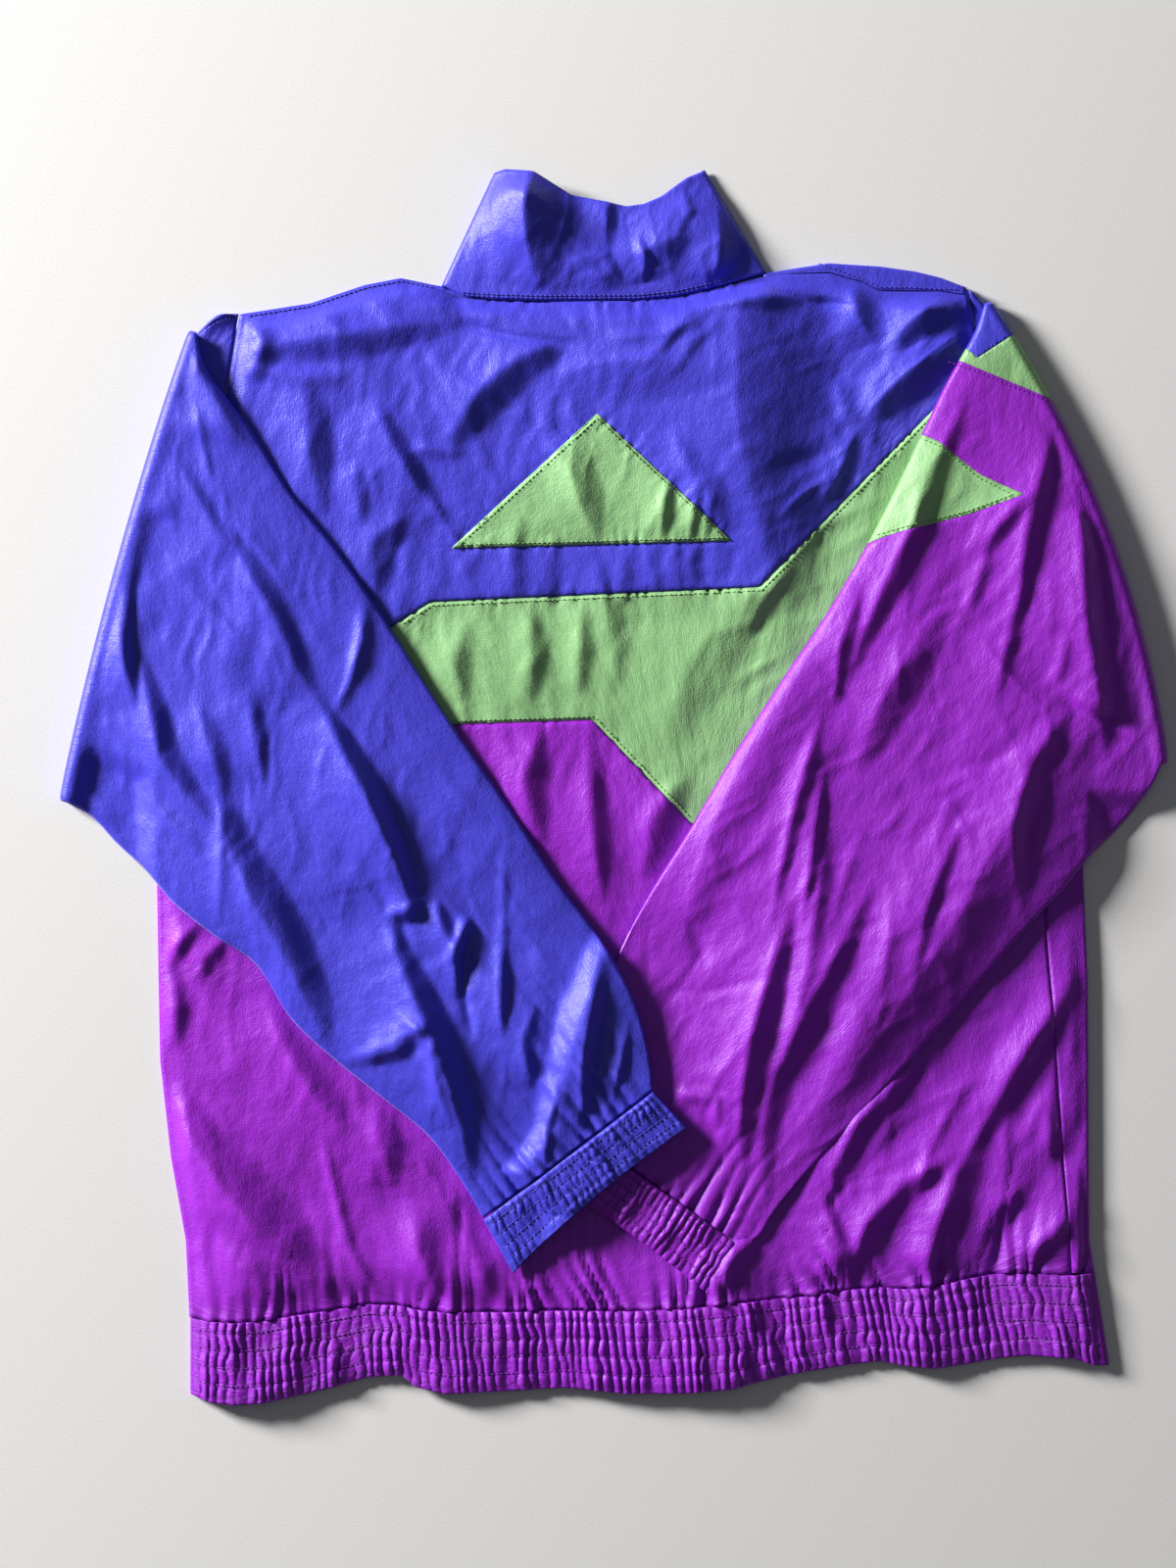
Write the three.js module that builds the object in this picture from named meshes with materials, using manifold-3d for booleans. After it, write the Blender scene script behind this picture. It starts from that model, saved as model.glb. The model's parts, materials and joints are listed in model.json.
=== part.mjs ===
// A thin shell windbreaker lying face down, with both sleeves folded across its back.
// Lengths are millimetres. X runs across the jacket, Y runs to the collar and Z is up.
import * as THREE from 'three';
import Module from 'manifold-3d';

const wasm = await Module();
wasm.setup();

// Cloth and spacing
const CLOTH = 1.2;
const HALF = CLOTH / 2;
const SEAM_GAP = 0.3;
const BACK_MID = 4.4;
const EDGE_MID = 2.4;
const EDGE_DROP_WIDTH = 14;
const LAYER_GAP = 1.5;
const TURN_RADIUS = 1.9;
const TURN_STEPS = 4;

// Zip
const ZIP_X_AT_ORIGIN = 6.5;
const ZIP_LEAN = -0.0407;
const ZIP_HALF_WIDTH = 4.4;
const ZIP_RISE = 2.3;
const ZIP_RISE_START = 255;
const ZIP_RISE_END = 285;
const ZIP_BOTTOM = -384;
const ZIP_TOP = 311.5;
const SLIDER = { width: 8.2, y: 319, length: 13.5, bottom: 1.7, top: 4.7 };
const PULL = { width: 5.6, end: 287, pivot: 320.4, bottom: 0.2, thickness: 1.2 };

// Gathers
const WAIST_GATHERS = 52;
const WAIST_GATHER_HEIGHT = 1.1;
const CUFF_GATHERS = 26;
const CUFF_GATHER_HEIGHT = 0.9;
const ELASTIC_ROWS = 4;
const COLUMNS_PER_GATHER = 2;

// Heights of the folded sleeves
const SLEEVE_LOFT = 11;
const FOLD_HALF = 3;
const FOLD_REST = 3.6;
const EDGE_ROUNDNESS = 0.62;
const UNDER_LOFT = 4.4;
const CROSSING_LIFT = 7.6;
const CROSSING_BLEND = 26;

const COLOURS = { purple: '#4b41c8', magenta: '#96199f', green: '#6e9641', zip: '#2b2440', metal: '#8b8d92' };

// A table is a list of rows whose columns are named once.
function table(columns, rows) {
  const names = columns.split(' ');
  return rows.map((row) => Object.fromEntries(names.map((name, k) => [name, row[k]])));
}

// Body outline, read up each side
const LEFT_SIDE = table('y x', [
  [-345, -271.5], [-292, -274], [-239, -283.5], [-177, -290.5], [-125, -291.5], [-65, -292.5],
  [0, -290.4], [302.4, -239.4], [340, -233],
]);
const RIGHT_SIDE = table('y x', [
  [-345, 311], [-313, 310], [-292, 306.5], [-239, 306.2], [-125, 305.6], [-65, 303], [0, 301.1],
  [318.1, 226.8], [340, 221.7],
]);
const RIGHT_SIDE_SEAM = table('y x', [
  [-345, 295.5], [-313, 294.8], [-226, 288.5], [-163, 284], [-87, 277.8], [-23, 276.6], [3, 298],
]);
// Top edge of the back, and the fold edge of the right shoulder above the shoulder seam
const BACK_TOP = table('x y', [
  [-239.4, 302.4], [-194, 309.5], [-159, 321.3], [-136, 325.7], [-111, 318.5], [-97, 312.6], [-76, 311],
  [-48, 310], [16, 310.3], [41, 313], [60.5, 317.5], [78, 322], [96, 324], [112, 325], [140, 326.5],
  [161, 322.6], [172, 317], [190, 316.8], [210, 316.8], [226.2, 314.5],
]);
const SHOULDER_FOLD = table('x y', [
  [98, 329], [112.8, 331.4], [138.6, 335.5], [172.6, 333.3], [194.7, 330.1], [210.4, 326.3],
  [226.8, 320],
]);
const LEFT_SHOULDER = table('x y', [
  [-239.4, 302.4], [-194, 309.5], [-159, 321.3], [-136, 325.7], [-111, 320.5],
]);
// Waistband seam and lower edge
const WAIST = table('x seam edge', [
  [-271.5, -342.1, -390.6], [-258.9, -344, -395.6], [-241.9, -344.6, -397.5], [-223.7, -343.7, -396.3],
  [-203.5, -339.9, -391.9], [-180.2, -337.1, -386.5], [-156.9, -333.3, -380.2],
  [-135.4, -333.9, -378.6], [-126, -336.4, -386.2], [-107.1, -338, -390.6], [-64.3, -338, -388.7],
  [-29.6, -337.1, -386.8], [9.4, -337.4, -390.6], [46, -335.8, -390], [76.9, -332.6, -387.4],
  [101.4, -330.1, -381.1], [124.1, -328.2, -376.4], [153.1, -323.8, -371.7], [171.4, -322.2, -369.8],
  [185.8, -323.5, -372.3], [206, -321.9, -374.5], [226.8, -316.9, -371.7], [247, -313.7, -367.9],
  [265.9, -313.4, -366], [296.1, -314.4, -367.9], [310, -312.8, -372.3],
]);
const WAIST_LEFT_END = { seam: -271.5, edge: -271.5 };
const WAIST_RIGHT_END = { seam: 310, edge: 319.5 };

// Seams of the coloured panels on the back
const BAND_TOP = table('x y', [
  [-420, 53.5], [-217.3, 54.2], [-116.5, 117.2], [94.5, 126.6], [220.5, 255.8], [420, 460],
]);
const BAND_LOW = table('x y', [
  [-420, 35.3], [-110.2, 38.4], [-12.6, 41.6], [53.5, -27.7], [267.8, 186.5], [420, 338],
]);
const TRIANGLE = table('x y', [[-10.1, 237.5], [-103.3, 151.8], [76.2, 156.2]]);
// Seams of the right sleeve
const CAP_SEAM = table('x y', [[-100, 559], [233.7, 273.4], [259.6, 290.4], [320, 333]]);
const SLEEVE_BAND_SEAM = table('x y', [[-100, 410], [235.4, 265.9], [281, 247], [420, 186]]);
const WEDGE = table('x y', [
  [180, 240], [192.2, 226.8], [208.5, 219.5], [235.4, 198.4], [262.7, 185.5], [229.3, 173.2],
  [182.1, 161.3], [150, 150],
]);

// Largest folds: the line each one follows, its half width and its height
const BACK_FOLDS = table('x0 y0 x1 y1 width height', [
  [-237, 277, -171, 261, 12, 2.4], [-208, 268, -194, 204, 12, 2.2], [-197, 250, -181, 160, 11, -1.4],
  [-168, 262, -158, 178, 13, 1.8], [-146, 244, -106, 178, 12, -1.4], [-101, 222, -41, 277, 12, 1.8],
  [76, 285, 130, 285, 20, 1.6], [143, 262, 152, 224, 12, 2], [172, 252, 160, 226, 12, 2],
  [-215, -140, -160, -258, 14, -1.4], [-240, -160, -190, -270, 12, 1.8], [-265, -220, -210, -300, 12, -1.3],
  [278, -95, 257, -158, 11, -1.4], [275, -160, 218, -265, 15, -1.5], [245, -150, 190, -235, 14, 1.8],
  [262, -300, 290, -276, 10, 1.4], [-60, -240, -40, -310, 14, 1.6], [100, -270, 122, -320, 12, 1.4],
]);
const LEFT_SLEEVE_FOLDS = table('x0 y0 x1 y1 width height', [
  [-306, 149, -306, 50, 11, -3], [-285, 150, -268, 70, 12, 3.4], [-296, 67, -250, -32, 12, -3.2],
  [-242, 149, -188, 45, 10, 3.2], [-180, 42, -140, -42, 13, -4], [-166, 64, -158, 118, 12, 3],
  [-247, -13, -192, -100, 19, -4], [-243, -44, -183, -158, 14, 2.6], [-146, -47, -100, -222, 15, -4],
  [-118, -40, -62, -170, 15, 3], [-106, -125, -92, -86, 11, 2.6], [1, -140, -18, -222, 9, -3],
  [-30, -150, -45, -240, 13, 3],
]);
const RIGHT_SLEEVE_FOLDS = table('x0 y0 x1 y1 width height', [
  [303, 182, 312, 52, 13, -3], [334, 148, 334, 47, 11, 2.6], [276, 120, 250, 20, 16, 3.2],
  [224, -37, 193, -132, 13, -3.4], [270, -37, 266, -73, 10, -2], [197, -44, 119, -227, 17, 3.6],
  [135, -34, 112, -170, 13, 2.6], [108, -71, 88, -198, 12, -3.2], [210, 110, 150, 0, 15, 2.4],
  [100, -217, 102, -272, 9, -2.4], [180, 150, 240, 130, 15, 2],
]);

// Left edge of the hidden end of the right sleeve, where the left sleeve climbs over it
const HIDDEN_SLEEVE_EDGE = table('y x', [
  [-345, -30], [-275, -20], [-248, -48.5], [-219, -27], [-188, -23], [-150, -13], [-112, 2.5],
  [-76, 21], [-50, 40], [-27, 62], [20, 120],
]);

// Sleeve stations: the over-arm edge, the under-arm edge and the outward bow between them
const LEFT_ENTRY = table('ox oy ax ay bow', [[-240.3, 302.6, -288.9, 14.6, 0], [-255, 300, -328, -1, 2]]);
const LEFT_AXIS = { ox: -267, oy: 290, ax: -349.8, ay: -11, bow: 4 };
const LEFT_RUN = table('ox oy ax ay bow', [
  [-263, 272, -336, -19, 2], [-249.5, 250.7, -317, -38.4, 0], [-232, 228.1, -299.2, -54.8, 0],
  [-207.3, 188.4, -280.4, -76.2, 0], [-177.7, 151.8, -254.5, -97, 0], [-141.8, 99.5, -229.3, -114, 0],
  [-104, 40.3, -206, -149.3, 0], [-62.4, -20.2, -179.6, -174.5, 0], [-35.9, -61.1, -148.1, -199.7, 0],
  [-2.5, -107.1, -116.5, -226.2, 0], [15.8, -144.3, -98.9, -250.1, 0], [23.3, -175.8, -89.5, -265.2, 0],
  [25.5, -195.5, -82.8, -277.4, 0],
]);
const LEFT_CUFF = table('ox oy ax ay bow', [[25.8, -196.1, -82.5, -278.6, 0], [47.2, -219.2, -63.6, -312.5, 4]]);
const RIGHT_ENTRY = table('ox oy ax ay bow', [[227.9, 318.3, 301.9, 0.4, 0], [230, 316, 334, 0, 5]]);
const RIGHT_AXIS = { ox: 238.5, oy: 308.2, ax: 351.6, ay: 13, bow: 17 };
const RIGHT_RUN = table('ox oy ax ay bow', [
  [233, 292, 345, -1, 16], [226.8, 280, 336, -14, 13], [214.2, 257.7, 322, -30, 8],
  [197.8, 223.7, 304, -47.6, 3], [182.1, 190.9, 288.5, -67.3, 0], [165.1, 157.5, 271, -85.5, 0],
  [139.9, 114, 242.3, -118.2, 0], [107.1, 64.9, 211.1, -153.7, 0], [75.6, 15.8, 182.7, -185.8, 0],
  [50.4, -27.1, 149.9, -221.1, 0], [20.8, -75.6, 122.8, -249.5, 0], [2.5, -112.1, 102.1, -275.3, 0],
  [-12.6, -150.6, 94.5, -287.9, 0], [-23.3, -188.4, 86.3, -293.6, 0], [-26.5, -218.2, 81.3, -294.6, 0],
]);
const RIGHT_CUFF = table('ox oy ax ay bow', [[-26.9, -218.9, 81, -295.4, 0], [-48.5, -248.8, 61.7, -327, 3]]);
const SLEEVE_COLUMNS = 24;

// Collar stations from the right zip end round the back to the left zip end
const COLLAR = table('bx by bz tx ty tz puff', [
  [0.9, 262, 0.8, -1.6, 327, 2.9, 0], [28, 264, 0.6, 22, 331, 2.2, 0], [62, 277, 0.6, 44, 346, 1.4, 0],
  [88, 303, 0.6, 58, 371, 0.9, 0], [96.5, 327, 0.9, 57.5, 393, 0.9, 0], [98.6, 329, 2.6, 59, 395.2, 2.4, 0],
  [97, 328.4, 4.6, 57, 393.5, 4.4, 0.5], [78.1, 323, 5.4, 47.2, 389.3, 6, 2], [60.5, 317.9, 6.6, 31.5, 377.4, 8, 3],
  [41, 313.4, 8.2, 20.2, 372.3, 9, 3], [15.8, 310.8, 9.3, 8.8, 370.8, 9.5, 2], [-15.8, 310.6, 9.4, -3.8, 373.6, 9.5, 2.5],
  [-48.5, 310.4, 9, -26.5, 378, 9, 1], [-76.2, 311.4, 7, -50.4, 392.5, 7.5, 3], [-97, 314.1, 5.2, -69, 394.8, 5, 2],
  [-107.5, 320, 4.4, -74.6, 393.2, 4, 0.5], [-109.8, 320.4, 2.5, -76, 392.8, 2.3, 0], [-107, 317, 0.8, -74, 391, 0.8, 0],
  [-99, 297, 0.6, -72, 371, 0.9, 0], [-70, 274, 0.6, -55, 345, 1.4, 0], [-38, 264, 0.6, -32, 331, 2.2, 0],
  [-9.3, 262, 0.8, -12, 327, 2.9, 0],
]);
const COLLAR_ROWS = 6;

const mix = (a, b, t) => a + (b - a) * t;
const clamp = (v) => Math.min(1, Math.max(0, v));
const smooth = (v) => clamp(v) ** 2 * (3 - 2 * clamp(v));
const steps = (n) => Array.from({ length: n }, (_, k) => k);

// A function that reads one column of a table from another, straight between rows.
function reader(rows, from, to) {
  return (at) => {
    const last = rows.length - 1;
    const k = Math.max(1, rows.findIndex((row, n) => n === last || row[from] >= at));
    const [a, b] = [rows[k - 1], rows[k]];
    return mix(a[to], b[to], clamp((at - a[from]) / (b[from] - a[from])));
  };
}

const leftX = reader(LEFT_SIDE, 'y', 'x');
const rightX = reader(RIGHT_SIDE, 'y', 'x');
const sideSeamX = reader(RIGHT_SIDE_SEAM, 'y', 'x');
const backTopY = reader(BACK_TOP, 'x', 'y');
const shoulderFoldY = reader(SHOULDER_FOLD, 'x', 'y');
const waistSeamY = reader(WAIST, 'x', 'seam');
const waistEdgeY = reader(WAIST, 'x', 'edge');
const hiddenSleeveX = reader(HIDDEN_SLEEVE_EDGE, 'y', 'x');
const zipX = (y) => ZIP_X_AT_ORIGIN + ZIP_LEAN * y;
const zipRise = (y) => HALF + ZIP_RISE * smooth((y - ZIP_RISE_START) / (ZIP_RISE_END - ZIP_RISE_START));

// Height that a table of soft folds adds at a point.
function foldHeight(folds, x, y) {
  return folds.reduce((sum, f) => {
    const [dx, dy] = [f.x1 - f.x0, f.y1 - f.y0];
    const t = clamp(((x - f.x0) * dx + (y - f.y0) * dy) / (dx * dx + dy * dy));
    const away = Math.hypot(x - f.x0 - t * dx, y - f.y0 - t * dy) / f.width;
    return sum + f.height * Math.exp(-away * away);
  }, 0);
}

// Height of the middle of the back cloth, dropping to its edges and rising at the neck.
const NECK_RISE = { x: -5, y: 316, reach: 95, height: 5 };
function backMid(x, y) {
  const leftDistance = x - leftX(y);
  const rightDistance = rightX(y) - x + Math.max(0, 12 - y) + Math.max(0, y - 296);
  const topDistance = backTopY(x) - y + Math.max(0, x + 130);
  const edge = smooth(Math.min(leftDistance, rightDistance, topDistance) / EDGE_DROP_WIDTH);
  const away = Math.hypot(x - NECK_RISE.x, y - NECK_RISE.y) / NECK_RISE.reach;
  const neck = NECK_RISE.height * smooth(1 - away);
  return mix(EDGE_MID, BACK_MID + foldHeight(BACK_FOLDS, x, y), edge) + neck;
}

// Points spread between four edges, each edge a function of the other coordinate.
function patch(rows, cols, left, right, bottom, top) {
  return steps(rows).map((i) => steps(cols).map((j) => {
    const t = i / (rows - 1);
    let x = 0;
    let y = mix(bottom(x), top(x), t);
    steps(8).forEach(() => {
      x = mix(left(y), right(y), j / (cols - 1));
      y = mix(bottom(x), top(x), t);
    });
    return new THREE.Vector3(x, y, 0);
  }));
}

function gridNormals(grid, ring) {
  const [rows, cols] = [grid.length, grid[0].length];
  const column = (j) => (ring ? (j + cols) % cols : Math.min(cols - 1, Math.max(0, j)));
  return grid.map((row, i) => row.map((_, j) => {
    const across = row[column(j + 1)].clone().sub(row[column(j - 1)]);
    const up = grid[Math.min(rows - 1, i + 1)][j].clone().sub(grid[Math.max(0, i - 1)][j]);
    return across.cross(up).normalize();
  }));
}

// A closed cloth wall over a grid of middle points; low and high are its two offsets.
function wall(grid, low, high, ring = false) {
  const [rows, cols] = [grid.length, grid[0].length];
  const normals = gridNormals(grid, ring);
  const offset = (by) => grid.flatMap((row, i) => row.map((p, j) => (
    p.clone().addScaledVector(normals[i][j], typeof by === 'function' ? by(i, j) : by))));
  const points = [...offset(high), ...offset(low)];
  const faces = [];
  const outside = (i, j) => i * cols + (j % cols);
  const inside = (i, j) => rows * cols + outside(i, j);
  const quad = (a, b, c, d) => faces.push([a, b, c], [a, c, d]);
  const spans = ring ? cols : cols - 1;
  const end = rows - 1;
  steps(spans).forEach((j) => {
    steps(end).forEach((i) => {
      quad(outside(i, j), outside(i, j + 1), outside(i + 1, j + 1), outside(i + 1, j));
      quad(inside(i, j), inside(i + 1, j), inside(i + 1, j + 1), inside(i, j + 1));
    });
    quad(outside(0, j), inside(0, j), inside(0, j + 1), outside(0, j + 1));
    quad(outside(end, j + 1), inside(end, j + 1), inside(end, j), outside(end, j));
  });
  if (!ring) {
    steps(end).forEach((i) => {
      quad(outside(i, 0), outside(i + 1, 0), inside(i + 1, 0), inside(i, 0));
      quad(inside(i, spans), inside(i + 1, spans), outside(i + 1, spans), outside(i, spans));
    });
  }
  return { points, faces };
}

// An upright prism over a flat outline, used only to cut cloth along its seams.
function prism(outline, bottom, top) {
  const flat = outline.map((p) => new THREE.Vector2(p.x, p.y));
  const ordered = THREE.ShapeUtils.isClockWise(flat) ? flat.reverse() : flat;
  const count = ordered.length;
  const points = [bottom, top].flatMap((z) => ordered.map((p) => new THREE.Vector3(p.x, p.y, z)));
  const faces = THREE.ShapeUtils.triangulateShape(ordered, []).flatMap(([a, b, c]) => [
    [a, c, b], [a + count, b + count, c + count],
  ]);
  steps(count).forEach((k) => {
    const next = (k + 1) % count;
    faces.push([k, next, next + count], [k, next + count, k + count]);
  });
  return { points, faces };
}

function solid({ points, faces }) {
  return new wasm.Manifold(new wasm.Mesh({
    numProp: 3,
    vertProperties: new Float32Array(points.flatMap((p) => [p.x, p.y, p.z])),
    triVerts: new Uint32Array(faces.flat()),
  }));
}

function surface(body) {
  const mesh = body.getMesh();
  const points = steps(mesh.vertProperties.length / mesh.numProp).map((k) => (
    new THREE.Vector3().fromArray(mesh.vertProperties, k * mesh.numProp)));
  const faces = steps(mesh.triVerts.length / 3).map((k) => Array.from(mesh.triVerts.slice(3 * k, 3 * k + 3)));
  return { points, faces };
}

// A seam line moved sideways, to the left of its direction when the distance is positive.
function moved(line, distance) {
  return line.map((p, k) => {
    const before = line[Math.max(0, k - 1)];
    const after = line[Math.min(line.length - 1, k + 1)];
    const direction = (a, b) => new THREE.Vector2(b.x - a.x, b.y - a.y).normalize();
    const into = k > 0 ? direction(before, p) : direction(p, after);
    const out = k < line.length - 1 ? direction(p, after) : into;
    const normal = new THREE.Vector2(-into.y - out.y, into.x + out.x).normalize();
    const reach = distance / (normal.x * -into.y + normal.y * into.x);
    return { x: p.x + normal.x * reach, y: p.y + normal.y * reach };
  });
}

const CUT_SPARE = 3;
const SEAM_SPARE = 0.25;
const waistCutLine = (x) => waistSeamY(x) - CUT_SPARE;
const CUT_LOW = -8;
const CUT_HIGH = 80;
const FAR_UP = 700;
const FAR_DOWN = -700;
function above(line) {
  const edge = moved(line, SEAM_GAP / 2);
  return prism([...edge, { x: edge.at(-1).x, y: FAR_UP }, { x: edge[0].x, y: FAR_UP }], CUT_LOW, CUT_HIGH);
}
function below(line) {
  const edge = moved(line, -SEAM_GAP / 2);
  return prism([...edge, { x: edge.at(-1).x, y: FAR_DOWN }, { x: edge[0].x, y: FAR_DOWN }], CUT_LOW, CUT_HIGH);
}

// Everything above the waistband seam
function aboveWaist() {
  const seam = WAIST.map((row) => ({ x: row.x, y: row.seam }));
  const spread = [{ x: -FAR_UP, y: seam[0].y }, ...seam, { x: FAR_UP, y: seam.at(-1).y }];
  const edge = moved(spread, SEAM_GAP + SEAM_SPARE);
  return solid(prism([...edge, { x: FAR_UP, y: FAR_UP }, { x: -FAR_UP, y: FAR_UP }], CUT_LOW, CUT_HIGH));
}

const group = new THREE.Group();
group.name = 'windbreaker';

function colourMaterial(colour, roughness = 0.5, metalness = 0) {
  return new THREE.MeshStandardMaterial({ color: colour, roughness, metalness });
}

function add(name, { points, faces }, material) {
  const geometry = new THREE.BufferGeometry();
  geometry.setAttribute('position', new THREE.Float32BufferAttribute(points.flatMap((p) => [p.x, p.y, p.z]), 3));
  geometry.setIndex(faces.flat());
  geometry.computeVertexNormals();
  const mesh = new THREE.Mesh(geometry, material);
  mesh.name = name;
  group.add(mesh);
}

// Back: one cloth wall cut into yoke, band and lower panel, with the triangle laid on the yoke
function buildBack({ sideSeam, shoulderSeam }) {
  const grid = patch(24, 25, leftX, (y) => rightX(y) - (y > FRONT_SEAM_Y ? 0 : CUT_SPARE), waistCutLine,
    (x) => backTopY(x) - SEAM_GAP);
  grid.flat().forEach((p) => { p.z = backMid(p.x, p.y); });
  const edge = moved(sideSeam, SEAM_GAP + SEAM_SPARE);
  const flap = solid(prism([...edge, { x: FAR_UP, y: edge.at(-1).y }, { x: FAR_UP, y: FAR_DOWN }, {
    x: edge[0].x, y: FAR_DOWN }], CUT_LOW, CUT_HIGH));
  const shoulderEdge = moved(shoulderSeam, -SEAM_GAP);
  const shoulderFlap = solid(prism([...shoulderEdge, { x: shoulderEdge.at(-1).x + CUT_SPARE, y: shoulderEdge.at(-1).y }, {
    x: shoulderEdge.at(-1).x + CUT_SPARE, y: FAR_UP }, { x: shoulderEdge[0].x, y: FAR_UP }], CUT_LOW, CUT_HIGH));
  const cloth = solid(wall(grid, -HALF, HALF)).subtract(flap).subtract(shoulderFlap).intersect(aboveWaist());
  add('back_yoke', surface(cloth.intersect(solid(above(BAND_TOP)))), colourMaterial(COLOURS.purple));
  const band = cloth.intersect(solid(below(BAND_TOP))).intersect(solid(above(BAND_LOW)));
  add('back_band', surface(band), colourMaterial(COLOURS.green));
  add('back_lower', surface(cloth.intersect(solid(below(BAND_LOW)))), colourMaterial(COLOURS.magenta));
  const patchCloth = solid(wall(grid, HALF + SEAM_GAP, HALF + SEAM_GAP + CLOTH));
  const triangle = patchCloth.intersect(solid(prism(TRIANGLE, CUT_LOW, CUT_HIGH)));
  add('back_triangle', surface(triangle), colourMaterial(COLOURS.green));
}

// Middle points of cloth that turns up round an edge, in distance from the edge and height.
function turn(topHeight) {
  const radius = (topHeight - HALF) / 2;
  return steps(TURN_STEPS + 1).map((k) => {
    const angle = (Math.PI * k) / TURN_STEPS;
    return { inset: HALF + radius - radius * Math.sin(angle), z: HALF + radius - radius * Math.cos(angle) };
  });
}

const FRONT_SEAM_Y = 3;
const FRONT_NECK_LEFT = table('y x', [
  [0, 0], [261.7, 0], [263.7, -46], [273.6, -80], [296.5, -105], [319.5, -113],
]);
const FRONT_NECK_RIGHT = table('y x', [
  [0, 0], [261.7, 0], [263.7, 36], [276.6, 72], [302.5, 96], [327.5, 105], [336, 116],
]);
const NECK_START = 261.7;

function buildFrontLeft() {
  const neckX = reader(FRONT_NECK_LEFT, 'y', 'x');
  const zipEdge = (y) => zipX(y) - ZIP_HALF_WIDTH - SEAM_GAP;
  const innerEdge = (y) => (y > NECK_START ? Math.min(neckX(y), zipEdge(y)) : zipEdge(y));
  const shoulder = reader(LEFT_SHOULDER, 'x', 'y');
  const yoke = patch(14, 9, leftX, innerEdge, () => FRONT_SEAM_Y + SEAM_GAP, (x) => shoulder(x));
  const lower = patch(9, 8, leftX, zipEdge, waistCutLine, () => FRONT_SEAM_Y);
  [...yoke.flat(), ...lower.flat()].forEach((p) => { p.z = HALF; });
  add('front_left_yoke', wall(yoke, -HALF, HALF), colourMaterial(COLOURS.purple));
  const cut = solid(wall(lower, -HALF, HALF)).intersect(aboveWaist());
  add('front_left_lower', surface(cut), colourMaterial(COLOURS.magenta));
}

// The right front turns up over the side and over the shoulder to the seams seen on the back.
function buildFrontRight() {
  const neckX = reader(FRONT_NECK_RIGHT, 'y', 'x');
  const zipEdge = (y) => zipX(y) + ZIP_HALF_WIDTH + SEAM_GAP;
  const innerEdge = (y) => (y > NECK_START ? Math.max(neckX(y), zipEdge(y)) : zipEdge(y));
  const flat = HALF + TURN_RADIUS;
  const yoke = patch(14, 8, innerEdge, rightX, () => FRONT_SEAM_Y + SEAM_GAP, (x) => shoulderFoldY(x) - flat);
  yoke.flat().forEach((p) => { p.z = HALF; });
  const shoulderEnd = yoke.at(-1);
  turn(BACK_MID).slice(1).forEach(({ inset, z }) => {
    yoke.push(shoulderEnd.map((p) => new THREE.Vector3(p.x, shoulderFoldY(p.x) - inset, z)));
  });
  [0.5, 1].forEach((t) => {
    yoke.push(shoulderEnd.map((p) => {
      const y = mix(shoulderFoldY(p.x) - flat, backTopY(p.x) + HALF / 2, t);
      return new THREE.Vector3(p.x, Math.min(y, shoulderFoldY(p.x) - flat - t), BACK_MID);
    }));
  });
  add('front_right_yoke', wall(yoke, -HALF, HALF), colourMaterial(COLOURS.purple));
  const lower = patch(12, 8, zipEdge, (y) => rightX(y) - flat, waistCutLine, () => FRONT_SEAM_Y);
  lower.forEach((row) => {
    row.forEach((p) => { p.z = HALF; });
    const { y } = row.at(-1);
    turn(BACK_MID).slice(1).forEach(({ inset, z }) => row.push(new THREE.Vector3(rightX(y) - inset, y, z)));
    [0.5, 1].forEach((t) => {
      const x = mix(rightX(y) - flat, Math.min(sideSeamX(y), rightX(y) - flat - 2), t);
      row.push(new THREE.Vector3(x, y, BACK_MID));
    });
  });
  const cut = solid(wall(lower, -HALF, HALF)).intersect(aboveWaist());
  add('front_right_lower', surface(cut), colourMaterial(COLOURS.magenta));
  const seamLine = (points) => points.map((p) => ({ x: p.x, y: p.y }));
  return { sideSeam: seamLine(lower.map((row) => row.at(-1))), shoulderSeam: seamLine(yoke.at(-1)) };
}

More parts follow.
